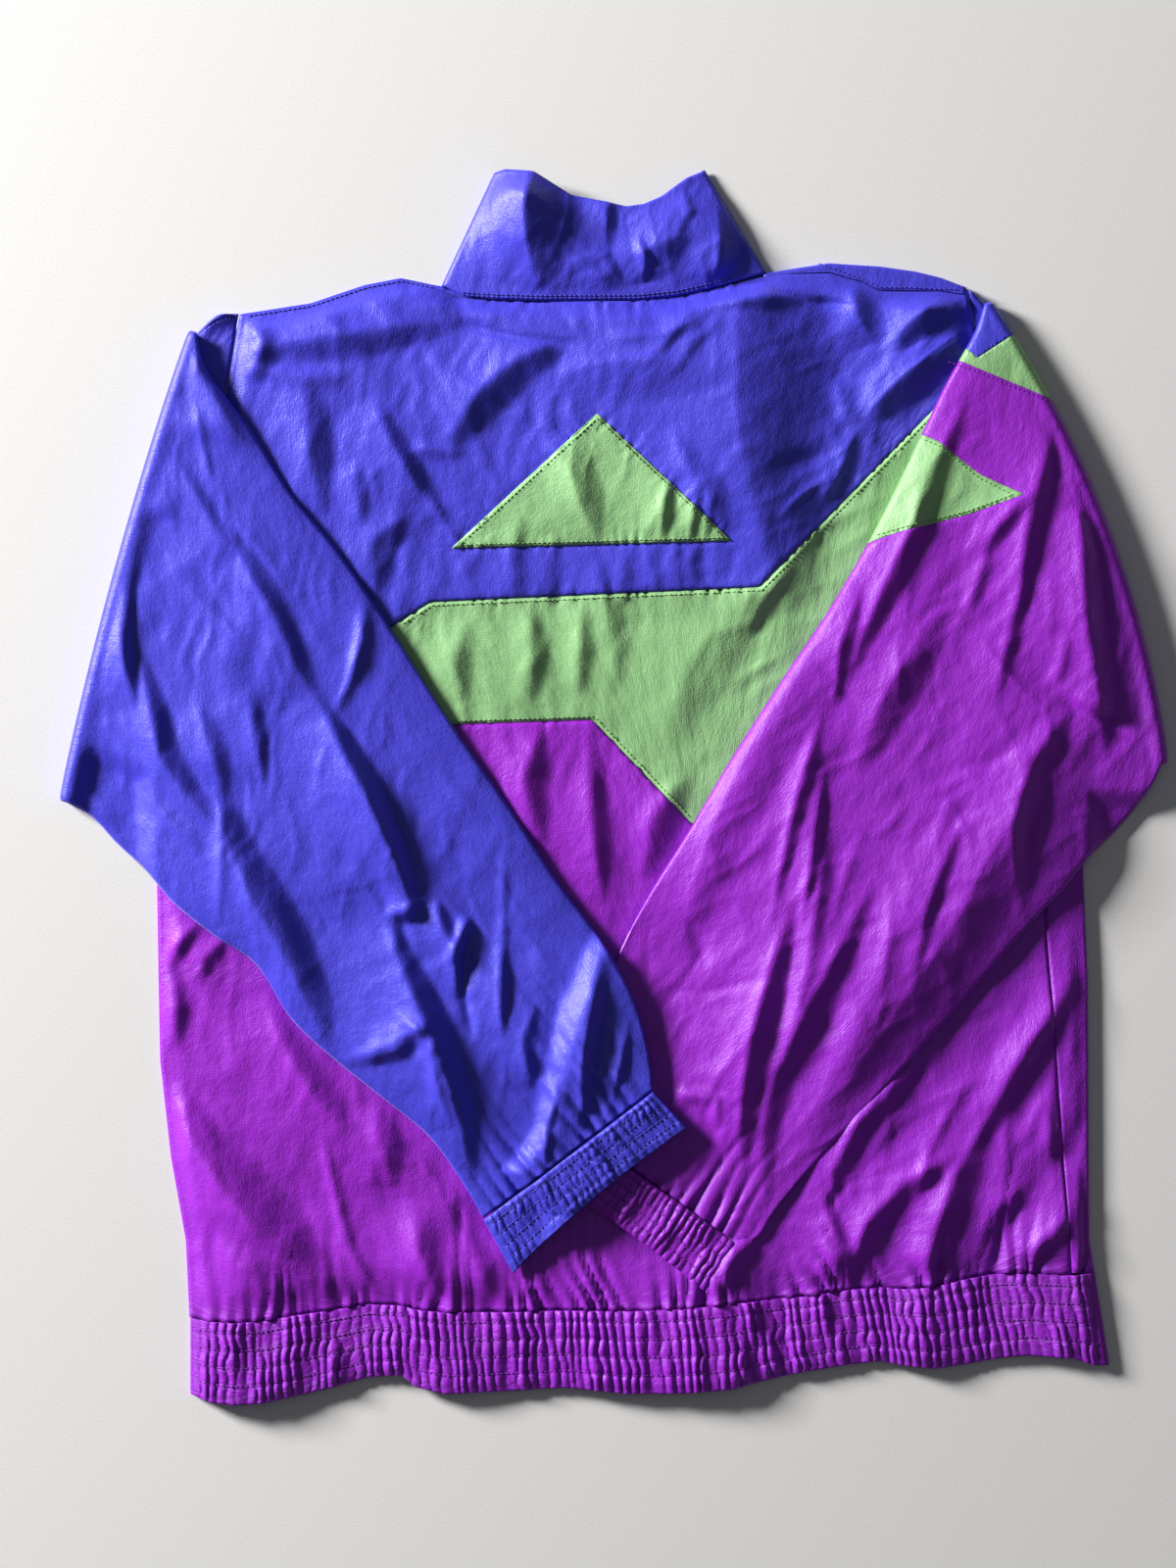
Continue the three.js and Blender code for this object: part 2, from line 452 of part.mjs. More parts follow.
// Zip: two tapes lying side by side, a slider at the neck end and its pull tab
function buildZip() {
  [['zip_tape_left', -1], ['zip_tape_right', 1]].forEach(([name, side]) => {
    const grid = steps(19).map((i) => steps(2).map((j) => {
      const y = mix(ZIP_BOTTOM, ZIP_TOP, i < 12 ? (i / 12) * 0.92 : 0.92 + ((i - 12) / 6) * 0.08);
      const reach = side * (j === (side > 0 ? 0 : 1) ? SEAM_GAP / 2 : ZIP_HALF_WIDTH);
      return new THREE.Vector3(zipX(y) + reach, y, zipRise(y));
    }));
    add(name, wall(grid, -HALF, HALF), colourMaterial(COLOURS.zip, 0.6));
  });
  const box = (width, length, height, x, y, z) => {
    const shape = new THREE.BoxGeometry(width, length, height).translate(x, y, z);
    shape.deleteAttribute('normal');
    shape.deleteAttribute('uv');
    return shape;
  };
  const corners = (shape) => {
    const merged = new Map();
    const { position } = shape.attributes;
    const unique = [];
    const index = steps(position.count).map((k) => {
      const p = new THREE.Vector3().fromBufferAttribute(position, k);
      const key = p.toArray().map((v) => v.toFixed(3)).join();
      if (!merged.has(key)) { merged.set(key, unique.push(p) - 1); }
      return merged.get(key);
    });
    const order = Array.from(shape.index.array, (k) => index[k]);
    return { points: unique, faces: steps(order.length / 3).map((k) => order.slice(3 * k, 3 * k + 3)) };
  };
  const x = zipX(SLIDER.y);
  const sliderBox = box(SLIDER.width, SLIDER.length, SLIDER.top - SLIDER.bottom, x, SLIDER.y, (SLIDER.top + SLIDER.bottom) / 2);
  add('zip_slider', corners(sliderBox), colourMaterial(COLOURS.metal, 0.35, 1));
  const pullLength = PULL.pivot + HALF - PULL.end;
  const pullBox = box(PULL.width, pullLength, PULL.thickness, x, PULL.end + pullLength / 2, PULL.bottom + PULL.thickness / 2);
  add('zip_pull', corners(pullBox), colourMaterial(COLOURS.metal, 0.35, 1));
}

// Waistband: one wall from zip to zip, turned up at both sides, gathered on the back
function buildWaistband() {
  const columns = [];
  const middle = zipX(ZIP_BOTTOM);
  const zipEnd = (v, side) => zipX(mix(waistSeamY(middle), waistEdgeY(middle), v)) + side * (ZIP_HALF_WIDTH + SEAM_GAP);
  const endX = (end, v) => mix(end.seam, end.edge, v);
  const flat = HALF + TURN_RADIUS;
  const frontXs = WAIST.map((row) => row.x).filter((x) => Math.abs(x - middle) > 2 * ZIP_HALF_WIDTH);
  columns.push((v) => [zipEnd(v, 1), HALF, 0]);
  frontXs.filter((x) => x > middle && x < WAIST_RIGHT_END.seam - flat).forEach((x) => columns.push(() => [x, HALF, 0]));
  turn(BACK_MID).forEach(({ inset, z }) => columns.push((v) => [endX(WAIST_RIGHT_END, v) - inset, z, 0]));
  const gatherColumns = WAIST_GATHERS * COLUMNS_PER_GATHER;
  steps(gatherColumns - 1).forEach((k) => {
    const t = (k + 1) / gatherColumns;
    const swell = 1.2 * Math.sin(Math.PI * t) ** 0.3;
    const ridge = 0.5 - 0.5 * Math.cos(2 * Math.PI * t * WAIST_GATHERS);
    columns.push((v) => [
      mix(endX(WAIST_RIGHT_END, v) - flat, endX(WAIST_LEFT_END, v) + flat, t),
      BACK_MID + swell * Math.sin(Math.PI * v) ** 0.5, ridge,
    ]);
  });
  turn(BACK_MID).reverse().forEach(({ inset, z }) => columns.push((v) => [endX(WAIST_LEFT_END, v) + inset, z, 0]));
  frontXs.filter((x) => x < middle && x > WAIST_LEFT_END.seam + flat)
    .forEach((x) => columns.push(() => [x, HALF, 0]));
  columns.push((v) => [zipEnd(v, -1), HALF, 0]);
  const ridges = [];
  const grid = steps(ELASTIC_ROWS).map((i) => columns.map((column) => {
    const v = i / (ELASTIC_ROWS - 1);
    const [x, z, ridge] = column(v);
    const depth = v === 0 ? 0.35 : 1;
    ridges.push(HALF + ridge * WAIST_GATHER_HEIGHT * depth);
    return new THREE.Vector3(x, mix(waistSeamY(x), waistEdgeY(x), v), z);
  }));
  add('waistband', wall(grid, -HALF, (i, j) => ridges[i * columns.length + j]), colourMaterial(COLOURS.magenta));
}

// One ring of a flattened tube: where it lies, how far it has turned over and how thick it is.
function bowed(station, t, side) {
  const [dx, dy] = [station.ax - station.ox, station.ay - station.oy];
  const length = Math.hypot(dx, dy);
  const outX = (side * -dy) / length;
  const outY = (side * dx) / length;
  const bow = 4 * t * (1 - t) * station.bow;
  return { x: station.ox + dx * t + outX * bow, y: station.oy + dy * t + outY * bow, outX, outY };
}

const roundness = (w) => Math.sign(w) * Math.abs(w) ** EDGE_ROUNDNESS;

function turningRing(station, columns, side, tilt, centre, half, shift) {
  return steps(columns).map((j) => {
    const angle = (side > 0 ? -1 : 1) * ((2 * Math.PI * j) / columns);
    const place = bowed(station, (1 - Math.cos(angle)) / 2, side);
    const reach = half * roundness(Math.sin(angle));
    const out = shift + reach * Math.sin(tilt);
    return new THREE.Vector3(place.x + place.outX * out, place.y + place.outY * out, centre - reach * Math.cos(tilt));
  });
}

function lyingRing(station, columns, side, rest, loft, folds) {
  return steps(columns).map((j) => {
    const angle = (side > 0 ? -1 : 1) * ((2 * Math.PI * j) / columns);
    const place = bowed(station, (1 - Math.cos(angle)) / 2, side);
    const under = rest(place.x, place.y) + HALF;
    const w = Math.sin(angle);
    const edge = under + Math.min(loft, 5) / 2;
    const crease = w > 0 ? foldHeight(folds, place.x, place.y) * w ** 0.8 : 0;
    const z = w > 0 ? edge + (under + loft - edge) * roundness(w) + crease : edge + (edge - under) * roundness(w);
    return new THREE.Vector3(place.x, place.y, z);
  });
}

const BEND_STEPS = 5;
function sleeveRings(entry, axis, run, side, rest, loftAt, folds) {
  const entryHalf = (EDGE_MID - HALF) / 2;
  const centre = (EDGE_MID + HALF) / 2;
  const rings = entry.map((station) => turningRing(station, SLEEVE_COLUMNS, side, 0, centre, entryHalf, 0));
  const endCentre = BACK_MID + HALF + LAYER_GAP + FOLD_REST;
  const radius = (endCentre - centre) / 2;
  steps(BEND_STEPS + 1).forEach((k) => {
    const t = k / BEND_STEPS;
    const tilt = Math.PI * t;
    const half = mix(entryHalf, FOLD_HALF, t);
    rings.push(turningRing(axis, SLEEVE_COLUMNS, side, tilt, centre + radius * (1 - Math.cos(tilt)), half,
      radius * Math.sin(tilt)));
  });
  run.forEach((station, k) => rings.push(lyingRing(station, SLEEVE_COLUMNS, side, rest, loftAt(k), folds)));
  return rings;
}

// What a folded sleeve lies on: the back, or the floor beyond the body and the first turn.
const LEFT_ELBOW = { x: -291, y: 14.5, slope: 0.43 };
const RIGHT_ELBOW = { x: 302, y: 3, slope: -0.02 };
function beyond(elbow, side, x, y) {
  const out = side * (x - elbow.x);
  const down = elbow.y + side * elbow.slope * (x - elbow.x) - y;
  return smooth(Math.min(out, down - 4) / 16);
}
function restOnBack(x, y, side) {
  const onBack = Math.max(BACK_MID, backMid(x, y)) + HALF + LAYER_GAP;
  const off = side < 0 ? beyond(LEFT_ELBOW, side, x, y) : beyond(RIGHT_ELBOW, side, x, y);
  return mix(onBack, 0.2, off);
}
const restRight = (x, y) => restOnBack(x, y, 1);
const restLeft = (x, y) => restOnBack(x, y, -1)
  + CROSSING_LIFT * smooth((x - hiddenSleeveX(y) + CROSSING_BLEND) / (CROSSING_BLEND - 6)) * smooth((-y - 10) / 60);

function buildLeftSleeve() {
  const last = LEFT_RUN.length - 1;
  const loft = (k) => SLEEVE_LOFT * Math.min(1, 0.65 + k * 0.12) * (k > last - 3 ? 1 - 0.13 * (k - last + 3) : 1);
  const rings = sleeveRings(LEFT_ENTRY, LEFT_AXIS, LEFT_RUN, -1, restLeft, loft, LEFT_SLEEVE_FOLDS);
  add('left_sleeve', wall(rings, -HALF, HALF, true), colourMaterial(COLOURS.purple));
}

function buildRightSleeve() {
  const crossing = 8;
  const loft = (k) => mix(SLEEVE_LOFT * Math.min(1, 0.65 + k * 0.12), UNDER_LOFT, smooth((k - crossing) / 4));
  const rings = sleeveRings(RIGHT_ENTRY, RIGHT_AXIS, RIGHT_RUN, 1, restRight, loft, RIGHT_SLEEVE_FOLDS);
  const cloth = solid(wall(rings, -HALF, HALF, true));
  const cap = cloth.intersect(solid(above(CAP_SEAM)));
  const band = cloth.intersect(solid(below(CAP_SEAM))).intersect(solid(above(SLEEVE_BAND_SEAM)));
  const rest = cloth.intersect(solid(below(SLEEVE_BAND_SEAM)));
  const wedgeLow = BACK_MID + HALF + SEAM_GAP;
  const wedge = rest.intersect(solid(prism(WEDGE, wedgeLow, CUT_HIGH)));
  const wider = moved([...WEDGE, WEDGE[0]], SEAM_GAP).slice(0, -1);
  add('right_sleeve_cap', surface(cap), colourMaterial(COLOURS.purple));
  add('right_sleeve_band', surface(band), colourMaterial(COLOURS.green));
  add('right_sleeve_wedge', surface(wedge), colourMaterial(COLOURS.green));
  add('right_sleeve_main', surface(rest.subtract(solid(prism(wider, wedgeLow, CUT_HIGH)))), colourMaterial(COLOURS.magenta));
}

function buildCuff(name, [start, end], side, rest, loft, colour) {
  const columns = CUFF_GATHERS * COLUMNS_PER_GATHER;
  const rings = steps(ELASTIC_ROWS).map((i) => {
    const t = i / (ELASTIC_ROWS - 1);
    const station = Object.fromEntries(Object.keys(start).map((key) => [key, mix(start[key], end[key], t)]));
    return lyingRing(station, columns, side, rest, loft - 1.2 * t, []);
  });
  const gather = (i, j) => {
    const ridge = (j % COLUMNS_PER_GATHER) / (COLUMNS_PER_GATHER - 1);
    return HALF + ridge * CUFF_GATHER_HEIGHT * (i === 0 ? 0.3 : 1);
  };
  add(name, wall(rings, -HALF, gather, true), colourMaterial(colour));
}

function buildCollar() {
  const grid = steps(COLLAR_ROWS).map((i) => COLLAR.map((s) => {
    const v = i / (COLLAR_ROWS - 1);
    const puff = s.puff * Math.sin(Math.PI * v);
    return new THREE.Vector3(mix(s.bx, s.tx, v), mix(s.by, s.ty, v), mix(s.bz, s.tz, v) + puff);
  }));
  add('collar', wall(grid, -HALF, HALF), colourMaterial(COLOURS.purple));
}

buildFrontLeft();
buildBack(buildFrontRight());
buildZip();
buildWaistband();
buildCollar();
buildRightSleeve();
buildCuff('right_cuff', RIGHT_CUFF, 1, restRight, UNDER_LOFT - 0.6, COLOURS.magenta);
buildLeftSleeve();
buildCuff('left_cuff', LEFT_CUFF, -1, restLeft, 6, COLOURS.purple);

export default group;
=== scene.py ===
import functools
import json
import math

import bpy
import numpy as np
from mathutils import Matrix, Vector
from mathutils.bvhtree import BVHTree

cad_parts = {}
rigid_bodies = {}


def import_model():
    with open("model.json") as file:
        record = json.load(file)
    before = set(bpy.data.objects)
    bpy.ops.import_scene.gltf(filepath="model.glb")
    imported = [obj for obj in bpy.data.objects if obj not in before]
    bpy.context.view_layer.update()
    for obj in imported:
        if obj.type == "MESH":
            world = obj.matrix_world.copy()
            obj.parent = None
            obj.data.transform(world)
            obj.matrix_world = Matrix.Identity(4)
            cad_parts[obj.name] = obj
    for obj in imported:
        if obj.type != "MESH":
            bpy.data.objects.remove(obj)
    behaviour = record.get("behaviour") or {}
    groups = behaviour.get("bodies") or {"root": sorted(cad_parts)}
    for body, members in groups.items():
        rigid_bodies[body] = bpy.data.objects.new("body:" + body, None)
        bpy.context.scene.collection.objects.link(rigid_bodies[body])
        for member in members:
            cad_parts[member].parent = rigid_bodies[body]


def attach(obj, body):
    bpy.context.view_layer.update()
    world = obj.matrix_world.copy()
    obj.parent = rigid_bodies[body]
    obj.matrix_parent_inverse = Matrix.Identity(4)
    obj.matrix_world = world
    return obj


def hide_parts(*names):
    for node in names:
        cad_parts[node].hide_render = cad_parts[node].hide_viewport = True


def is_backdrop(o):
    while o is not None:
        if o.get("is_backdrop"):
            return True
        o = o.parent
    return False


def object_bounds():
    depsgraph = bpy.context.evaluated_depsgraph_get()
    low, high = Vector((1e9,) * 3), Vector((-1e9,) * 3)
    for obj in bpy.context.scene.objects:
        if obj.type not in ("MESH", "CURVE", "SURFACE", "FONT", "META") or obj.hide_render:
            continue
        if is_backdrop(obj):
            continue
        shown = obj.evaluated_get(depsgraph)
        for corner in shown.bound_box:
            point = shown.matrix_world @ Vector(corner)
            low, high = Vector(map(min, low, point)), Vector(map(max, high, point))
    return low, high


MM = 0.001
CLOTH_THICKNESS = 0.5
JACKET = "jacket"
PULL = "pull"

# Heights of the layers and the space between them
HALF = 0.6
SEAM_GAP = 0.3
TRIANGLE_LIFT = 1.0
BACK_MID = 4.4
BACK_SWELL = 1.2
LOWEST_BACK = 2.1
EDGE_MID = 2.4
EDGE_DROP_WIDTH = 14
LAYER_GAP = 1.5
TURN_RADIUS = 1.9
FRONT_SEAM_Y = 3
SLEEVE_LOFT = 12.5
UNDER_LOFT = 4.6
CROSSING_LIFT = 7.6
CROSSING_BLEND = 26
SLEEVE_SINK = 4
ARMHOLE_RIM = 6
ARMHOLE_RIM_WIDTH = 6
TURN_LIFT = 0.6
FLOOR_CREASE = 0.9
COVERED_SHARE = 0.12
FOLD_HALF = 3
FOLD_REST = 3.6
FOLD_BLEND = 16
BEND_STEPS = 16
ENTRY_RINGS = 11
NECK_RISE = {"x": -5, "y": 316, "reach": 95, "height": 5}

# Zip
ZIP_X_AT_ORIGIN = 6.5
ZIP_LEAN = -0.0407
ZIP_HALF_WIDTH = 4.4
ZIP_RISE = 2.3
ZIP_RISE_START = 255
ZIP_RISE_END = 285
ZIP_BOTTOM = -384
ZIP_TOP = 311.5
TOOTH_PITCH = 2.4
SLIDER = {"width": 8.2, "y": 319, "length": 13.5, "bottom": 1.7, "top": 4.7}
PULL_HINGE = {"y": 320.4, "z": 0.8}
PULL_END = 287
GRIP_LENGTH = 21
TAB_THICKNESS = 1.1

# Cloth grids: the spacing and the number of their points
BODY_SPACING = 2.7
TRIANGLE_SPACING = 1.8
FRONT_SPACING = 5
FITTING_ROUNDS = 60
COLLAR_ROWS = 40
COLLAR_COLUMNS = 300
CUT_MARGIN = 6
SLEEVE_ROWS = 214
SLEEVE_COLUMNS = 142
UPPER_SHARE = 0.76
ELASTIC_SPACING = 0.92
UNDER_COLUMNS = 100

# Elastic gathers
WAIST_GATHERS = 94
CUFF_GATHERS = 27
STITCH_ROWS = 4
FIRST_ROW = 0.13
ROW_SPACING = 0.215
GATHER_HEIGHT = 3.3
UNDER_GATHER_SHARE = 0.25
WAIST_DROP = 0.2
WAIST_PUCKER_HEIGHT = 7.5
WAIST_PUCKER_SPACING = 10.5
CUFF_PUCKER_HEIGHT = 4.6
CUFF_PUCKER_SPACING = 10
WAIST_ROWS = 42
CUFF_ROWS = 32
FOLD_STRENGTH = 1.6
THREAD_RADIUS = 0.34
THREAD_POINTS = 6
SEAM_INSET = 2.2
STITCH_PITCH = 3.1


def table(columns, rows):
    """Columns by name, from a list of rows."""
    return {name: np.array([row[k] for row in rows], float) for k, name in enumerate(columns.split())}


# Body outline, read up each side
LEFT_SIDE = table("y x", [
    (-345, -271.5), (-292, -274), (-239, -283.5), (-177, -290.5), (-125, -291.5), (-65, -292.5),
    (0, -290.4), (302.4, -239.4), (340, -233),
])
RIGHT_SIDE = table("y x", [
    (-345, 311), (-313, 310), (-292, 306.5), (-239, 306.2), (-125, 305.6), (-65, 303), (0, 301.1),
    (318.1, 226.8), (340, 221.7),
])
RIGHT_SIDE_SEAM = table("y x", [
    (-345, 295.5), (-313, 294.8), (-226, 288.5), (-163, 284), (-87, 277.8), (-23, 276.6), (3, 298),
])
BACK_TOP = table("x y", [
    (-239.4, 302.4), (-194, 309.5), (-159, 321.3), (-136, 325.7), (-111, 318.5), (-97, 312.6), (-76, 311),
    (-48, 310), (16, 310.3), (41, 313), (60.5, 317.5), (78, 322), (96, 326), (112, 328), (140, 328.5),
    (161, 322.6), (172, 317), (190, 316.8), (210, 316.8), (226.2, 314.5),
])
SHOULDER_FOLD = table("x y", [
    (98, 329), (112.8, 331.4), (138.6, 335.5), (172.6, 333.3), (194.7, 330.1), (210.4, 326.3), (226.8, 320),
])
LEFT_SHOULDER = table("x y", [
    (-239.4, 302.4), (-194, 309.5), (-159, 321.3), (-136, 325.7), (-111, 320.5),
])
WAIST = table("x seam edge", [
    (-271.5, -342.1, -390.6), (-258.9, -344, -395.6), (-241.9, -344.6, -397.5), (-223.7, -343.7, -396.3),
    (-203.5, -339.9, -391.9), (-180.2, -337.1, -386.5), (-156.9, -333.3, -380.2),
    (-135.4, -333.9, -378.6), (-126, -336.4, -386.2), (-107.1, -338, -390.6), (-64.3, -338, -388.7),
    (-29.6, -337.1, -386.8), (9.4, -337.4, -390.6), (46, -335.8, -390), (76.9, -332.6, -387.4),
    (101.4, -330.1, -381.1), (124.1, -328.2, -376.4), (153.1, -323.8, -371.7), (171.4, -322.2, -369.8),
    (185.8, -323.5, -372.3), (206, -321.9, -374.5), (226.8, -316.9, -371.7), (247, -313.7, -367.9),
    (265.9, -313.4, -366), (296.1, -314.4, -367.9), (310, -312.8, -372.3),
])
WAIST_LEFT_END = (-271.5, -271.5)
WAIST_RIGHT_END = (310, 319.5)
FRONT_NECK_LEFT = table("y x", [
    (250, 0), (261.7, 0), (263.9, -38.5), (274, -70.6), (297, -99.6), (317, -107.6),
])
FRONT_NECK_RIGHT = table("y x", [
    (250, 0), (261.7, 0), (263.9, 28.5), (277, 62.6), (303, 88.6), (327, 97.1), (336, 98),
])

# Seams of the coloured panels
BAND_TOP = table("x y", [
    (-420, 53.5), (-217.3, 54.2), (-116.5, 117.2), (94.5, 126.6), (220.5, 255.8), (420, 460),
])
BAND_LOW = table("x y", [
    (-420, 35.3), (-110.2, 38.4), (-12.6, 41.6), (53.5, -27.7), (267.8, 186.5), (420, 338),
])
TRIANGLE_APEX = (-10.1, 237.5)
TRIANGLE_LEFT = (-103.3, 151.8)
TRIANGLE_RIGHT = (76.2, 156.2)
CAP_SEAM = [(150, 345), (233.7, 273.4), (259.6, 290.4), (320, 333)]
SLEEVE_BAND_SEAM = [(150, 303), (235.4, 265.9), (281, 247), (340, 222)]
WEDGE = [
    (178, 238), (192.2, 226.8), (208.5, 219.5), (235.4, 198.4), (262.7, 185.5), (229.3, 173.2),
    (182.1, 161.3), (150, 150),
]

# Lines of stitches, where they show beside a seam
WEDGE_STITCHES = [
    (196, 222.5), (209, 216.4), (234, 196.6), (255.5, 185.4), (229, 175.6), (182.6, 163.8), (168, 159.6),
]
BAND_TOP_STITCHES = [(-136, 105), (-116.5, 117.2), (94.5, 126.6), (204, 239)]
BAND_LOW_STITCHES = [(-124, 38), (-12.6, 41.6), (48, -22)]
SLEEVE_SEAM_STITCHES = [(216, 273), (235.4, 265.9), (280, 247.5)]
RIGHT_SHOULDER_STITCHES = [(132, 333.6), (160.7, 323.2), (172, 318), (190, 318), (222, 316.5)]

# Where the left sleeve climbs over the hidden end of the right one
HIDDEN_SLEEVE_EDGE = table("y x", [
    (-345, -30), (-275, -20), (-248, -48.5), (-219, -27), (-188, -23), (-150, -13), (-112, 2.5),
    (-76, 21), (-50, 40), (-27, 62), (20, 120),
])

# Sleeve stations: the over-arm edge, the under-arm edge and the outward bow between them
LEFT_ENTRY = table("ox oy ax ay bow", [(-240.3, 302.6, -288.9, 14.6, 0), (-255, 300, -328, -1, 2)])
LEFT_AXIS = {"ox": -267, "oy": 290, "ax": -349.8, "ay": -11, "bow": 4}
LEFT_RUN = table("ox oy ax ay bow", [
    (-263, 272, -336, -19, 2), (-249.5, 250.7, -317, -38.4, 0), (-232, 228.1, -299.2, -54.8, 0),
    (-207.3, 188.4, -280.4, -76.2, 0), (-177.7, 151.8, -254.5, -97, 0), (-141.8, 99.5, -229.3, -114, 0),
    (-104, 40.3, -206, -149.3, 0), (-62.4, -20.2, -179.6, -174.5, 0), (-35.9, -61.1, -148.1, -199.7, 0),
    (-2.5, -107.1, -116.5, -226.2, 0), (15.8, -144.3, -98.9, -250.1, 0), (23.3, -175.8, -89.5, -265.2, 0),
    (25.5, -195.5, -82.8, -277.4, 0),
])
LEFT_CUFF = table("ox oy ax ay bow", [(25.8, -196.1, -82.5, -278.6, 0), (47.2, -219.2, -63.6, -312.5, 4)])
RIGHT_ENTRY = table("ox oy ax ay bow", [(227.9, 318.3, 301.9, 0.4, 0), (230, 316, 334, 0, 5)])
RIGHT_AXIS = {"ox": 238.5, "oy": 308.2, "ax": 351.6, "ay": 13, "bow": 17}
RIGHT_RUN = table("ox oy ax ay bow", [
    (233, 292, 345, -1, 16), (226.8, 280, 336, -14, 13), (214.2, 257.7, 322, -30, 8),
    (197.8, 223.7, 304, -47.6, 3), (182.1, 190.9, 288.5, -67.3, 0), (165.1, 157.5, 271, -85.5, 0),
    (139.9, 114, 242.3, -118.2, 0), (107.1, 64.9, 211.1, -153.7, 0), (75.6, 15.8, 182.7, -185.8, 0),
    (50.4, -27.1, 149.9, -221.1, 0), (20.8, -75.6, 122.8, -249.5, 0), (2.5, -112.1, 102.1, -275.3, 0),
    (-12.6, -150.6, 94.5, -287.9, 0), (-23.3, -188.4, 86.3, -293.6, 0), (-26.5, -218.2, 81.3, -294.6, 0),
])
RIGHT_CUFF = table("ox oy ax ay bow", [(-26.9, -218.9, 81, -295.4, 0), (-48.5, -248.8, 61.7, -327, 3)])
LEFT_ELBOW = (-291, 14.5, 0.43)
RIGHT_ELBOW = (302, 3, -0.02)

COLLAR = table("bx by bz tx ty tz puff", [
    (0.9, 262, 0.8, -1.6, 327, 2.9, 0), (28, 264, 0.6, 22, 331, 2.2, 0), (62, 277, 0.6, 44, 346, 1.4, 0),
    (88, 303, 0.6, 58, 371, 0.9, 0), (96.5, 327, 0.9, 57.5, 393, 0.9, 0), (98.6, 329, 2.6, 59, 395.2, 2.4, 0),
    (97, 328.4, 4.6, 57, 393.5, 4.4, 0.5), (78.1, 323, 5.4, 47.2, 389.3, 6, 2),
    (60.5, 317.9, 6.6, 31.5, 377.4, 8, 3), (41, 313.4, 8.2, 20.2, 372.3, 9, 3),
    (15.8, 310.8, 9.3, 8.8, 370.8, 9.5, 2), (-15.8, 310.6, 9.4, -3.8, 373.6, 9.5, 2.5),
    (-48.5, 310.4, 9, -26.5, 378, 9, 1), (-76.2, 311.4, 7, -50.4, 392.5, 7.5, 3),
    (-97, 314.1, 5.2, -69, 394.8, 5, 2), (-107.5, 320, 4.4, -74.6, 393.2, 4, 0.5),
    (-109.8, 320.4, 2.5, -76, 392.8, 2.3, 0), (-107, 317, 0.8, -74, 391, 0.8, 0),
    (-99, 297, 0.6, -72, 371, 0.9, 0), (-70, 274, 0.6, -55, 345, 1.4, 0), (-38, 264, 0.6, -32, 331, 2.2, 0),
    (-9.3, 262, 0.8, -12, 327, 2.9, 0),
])

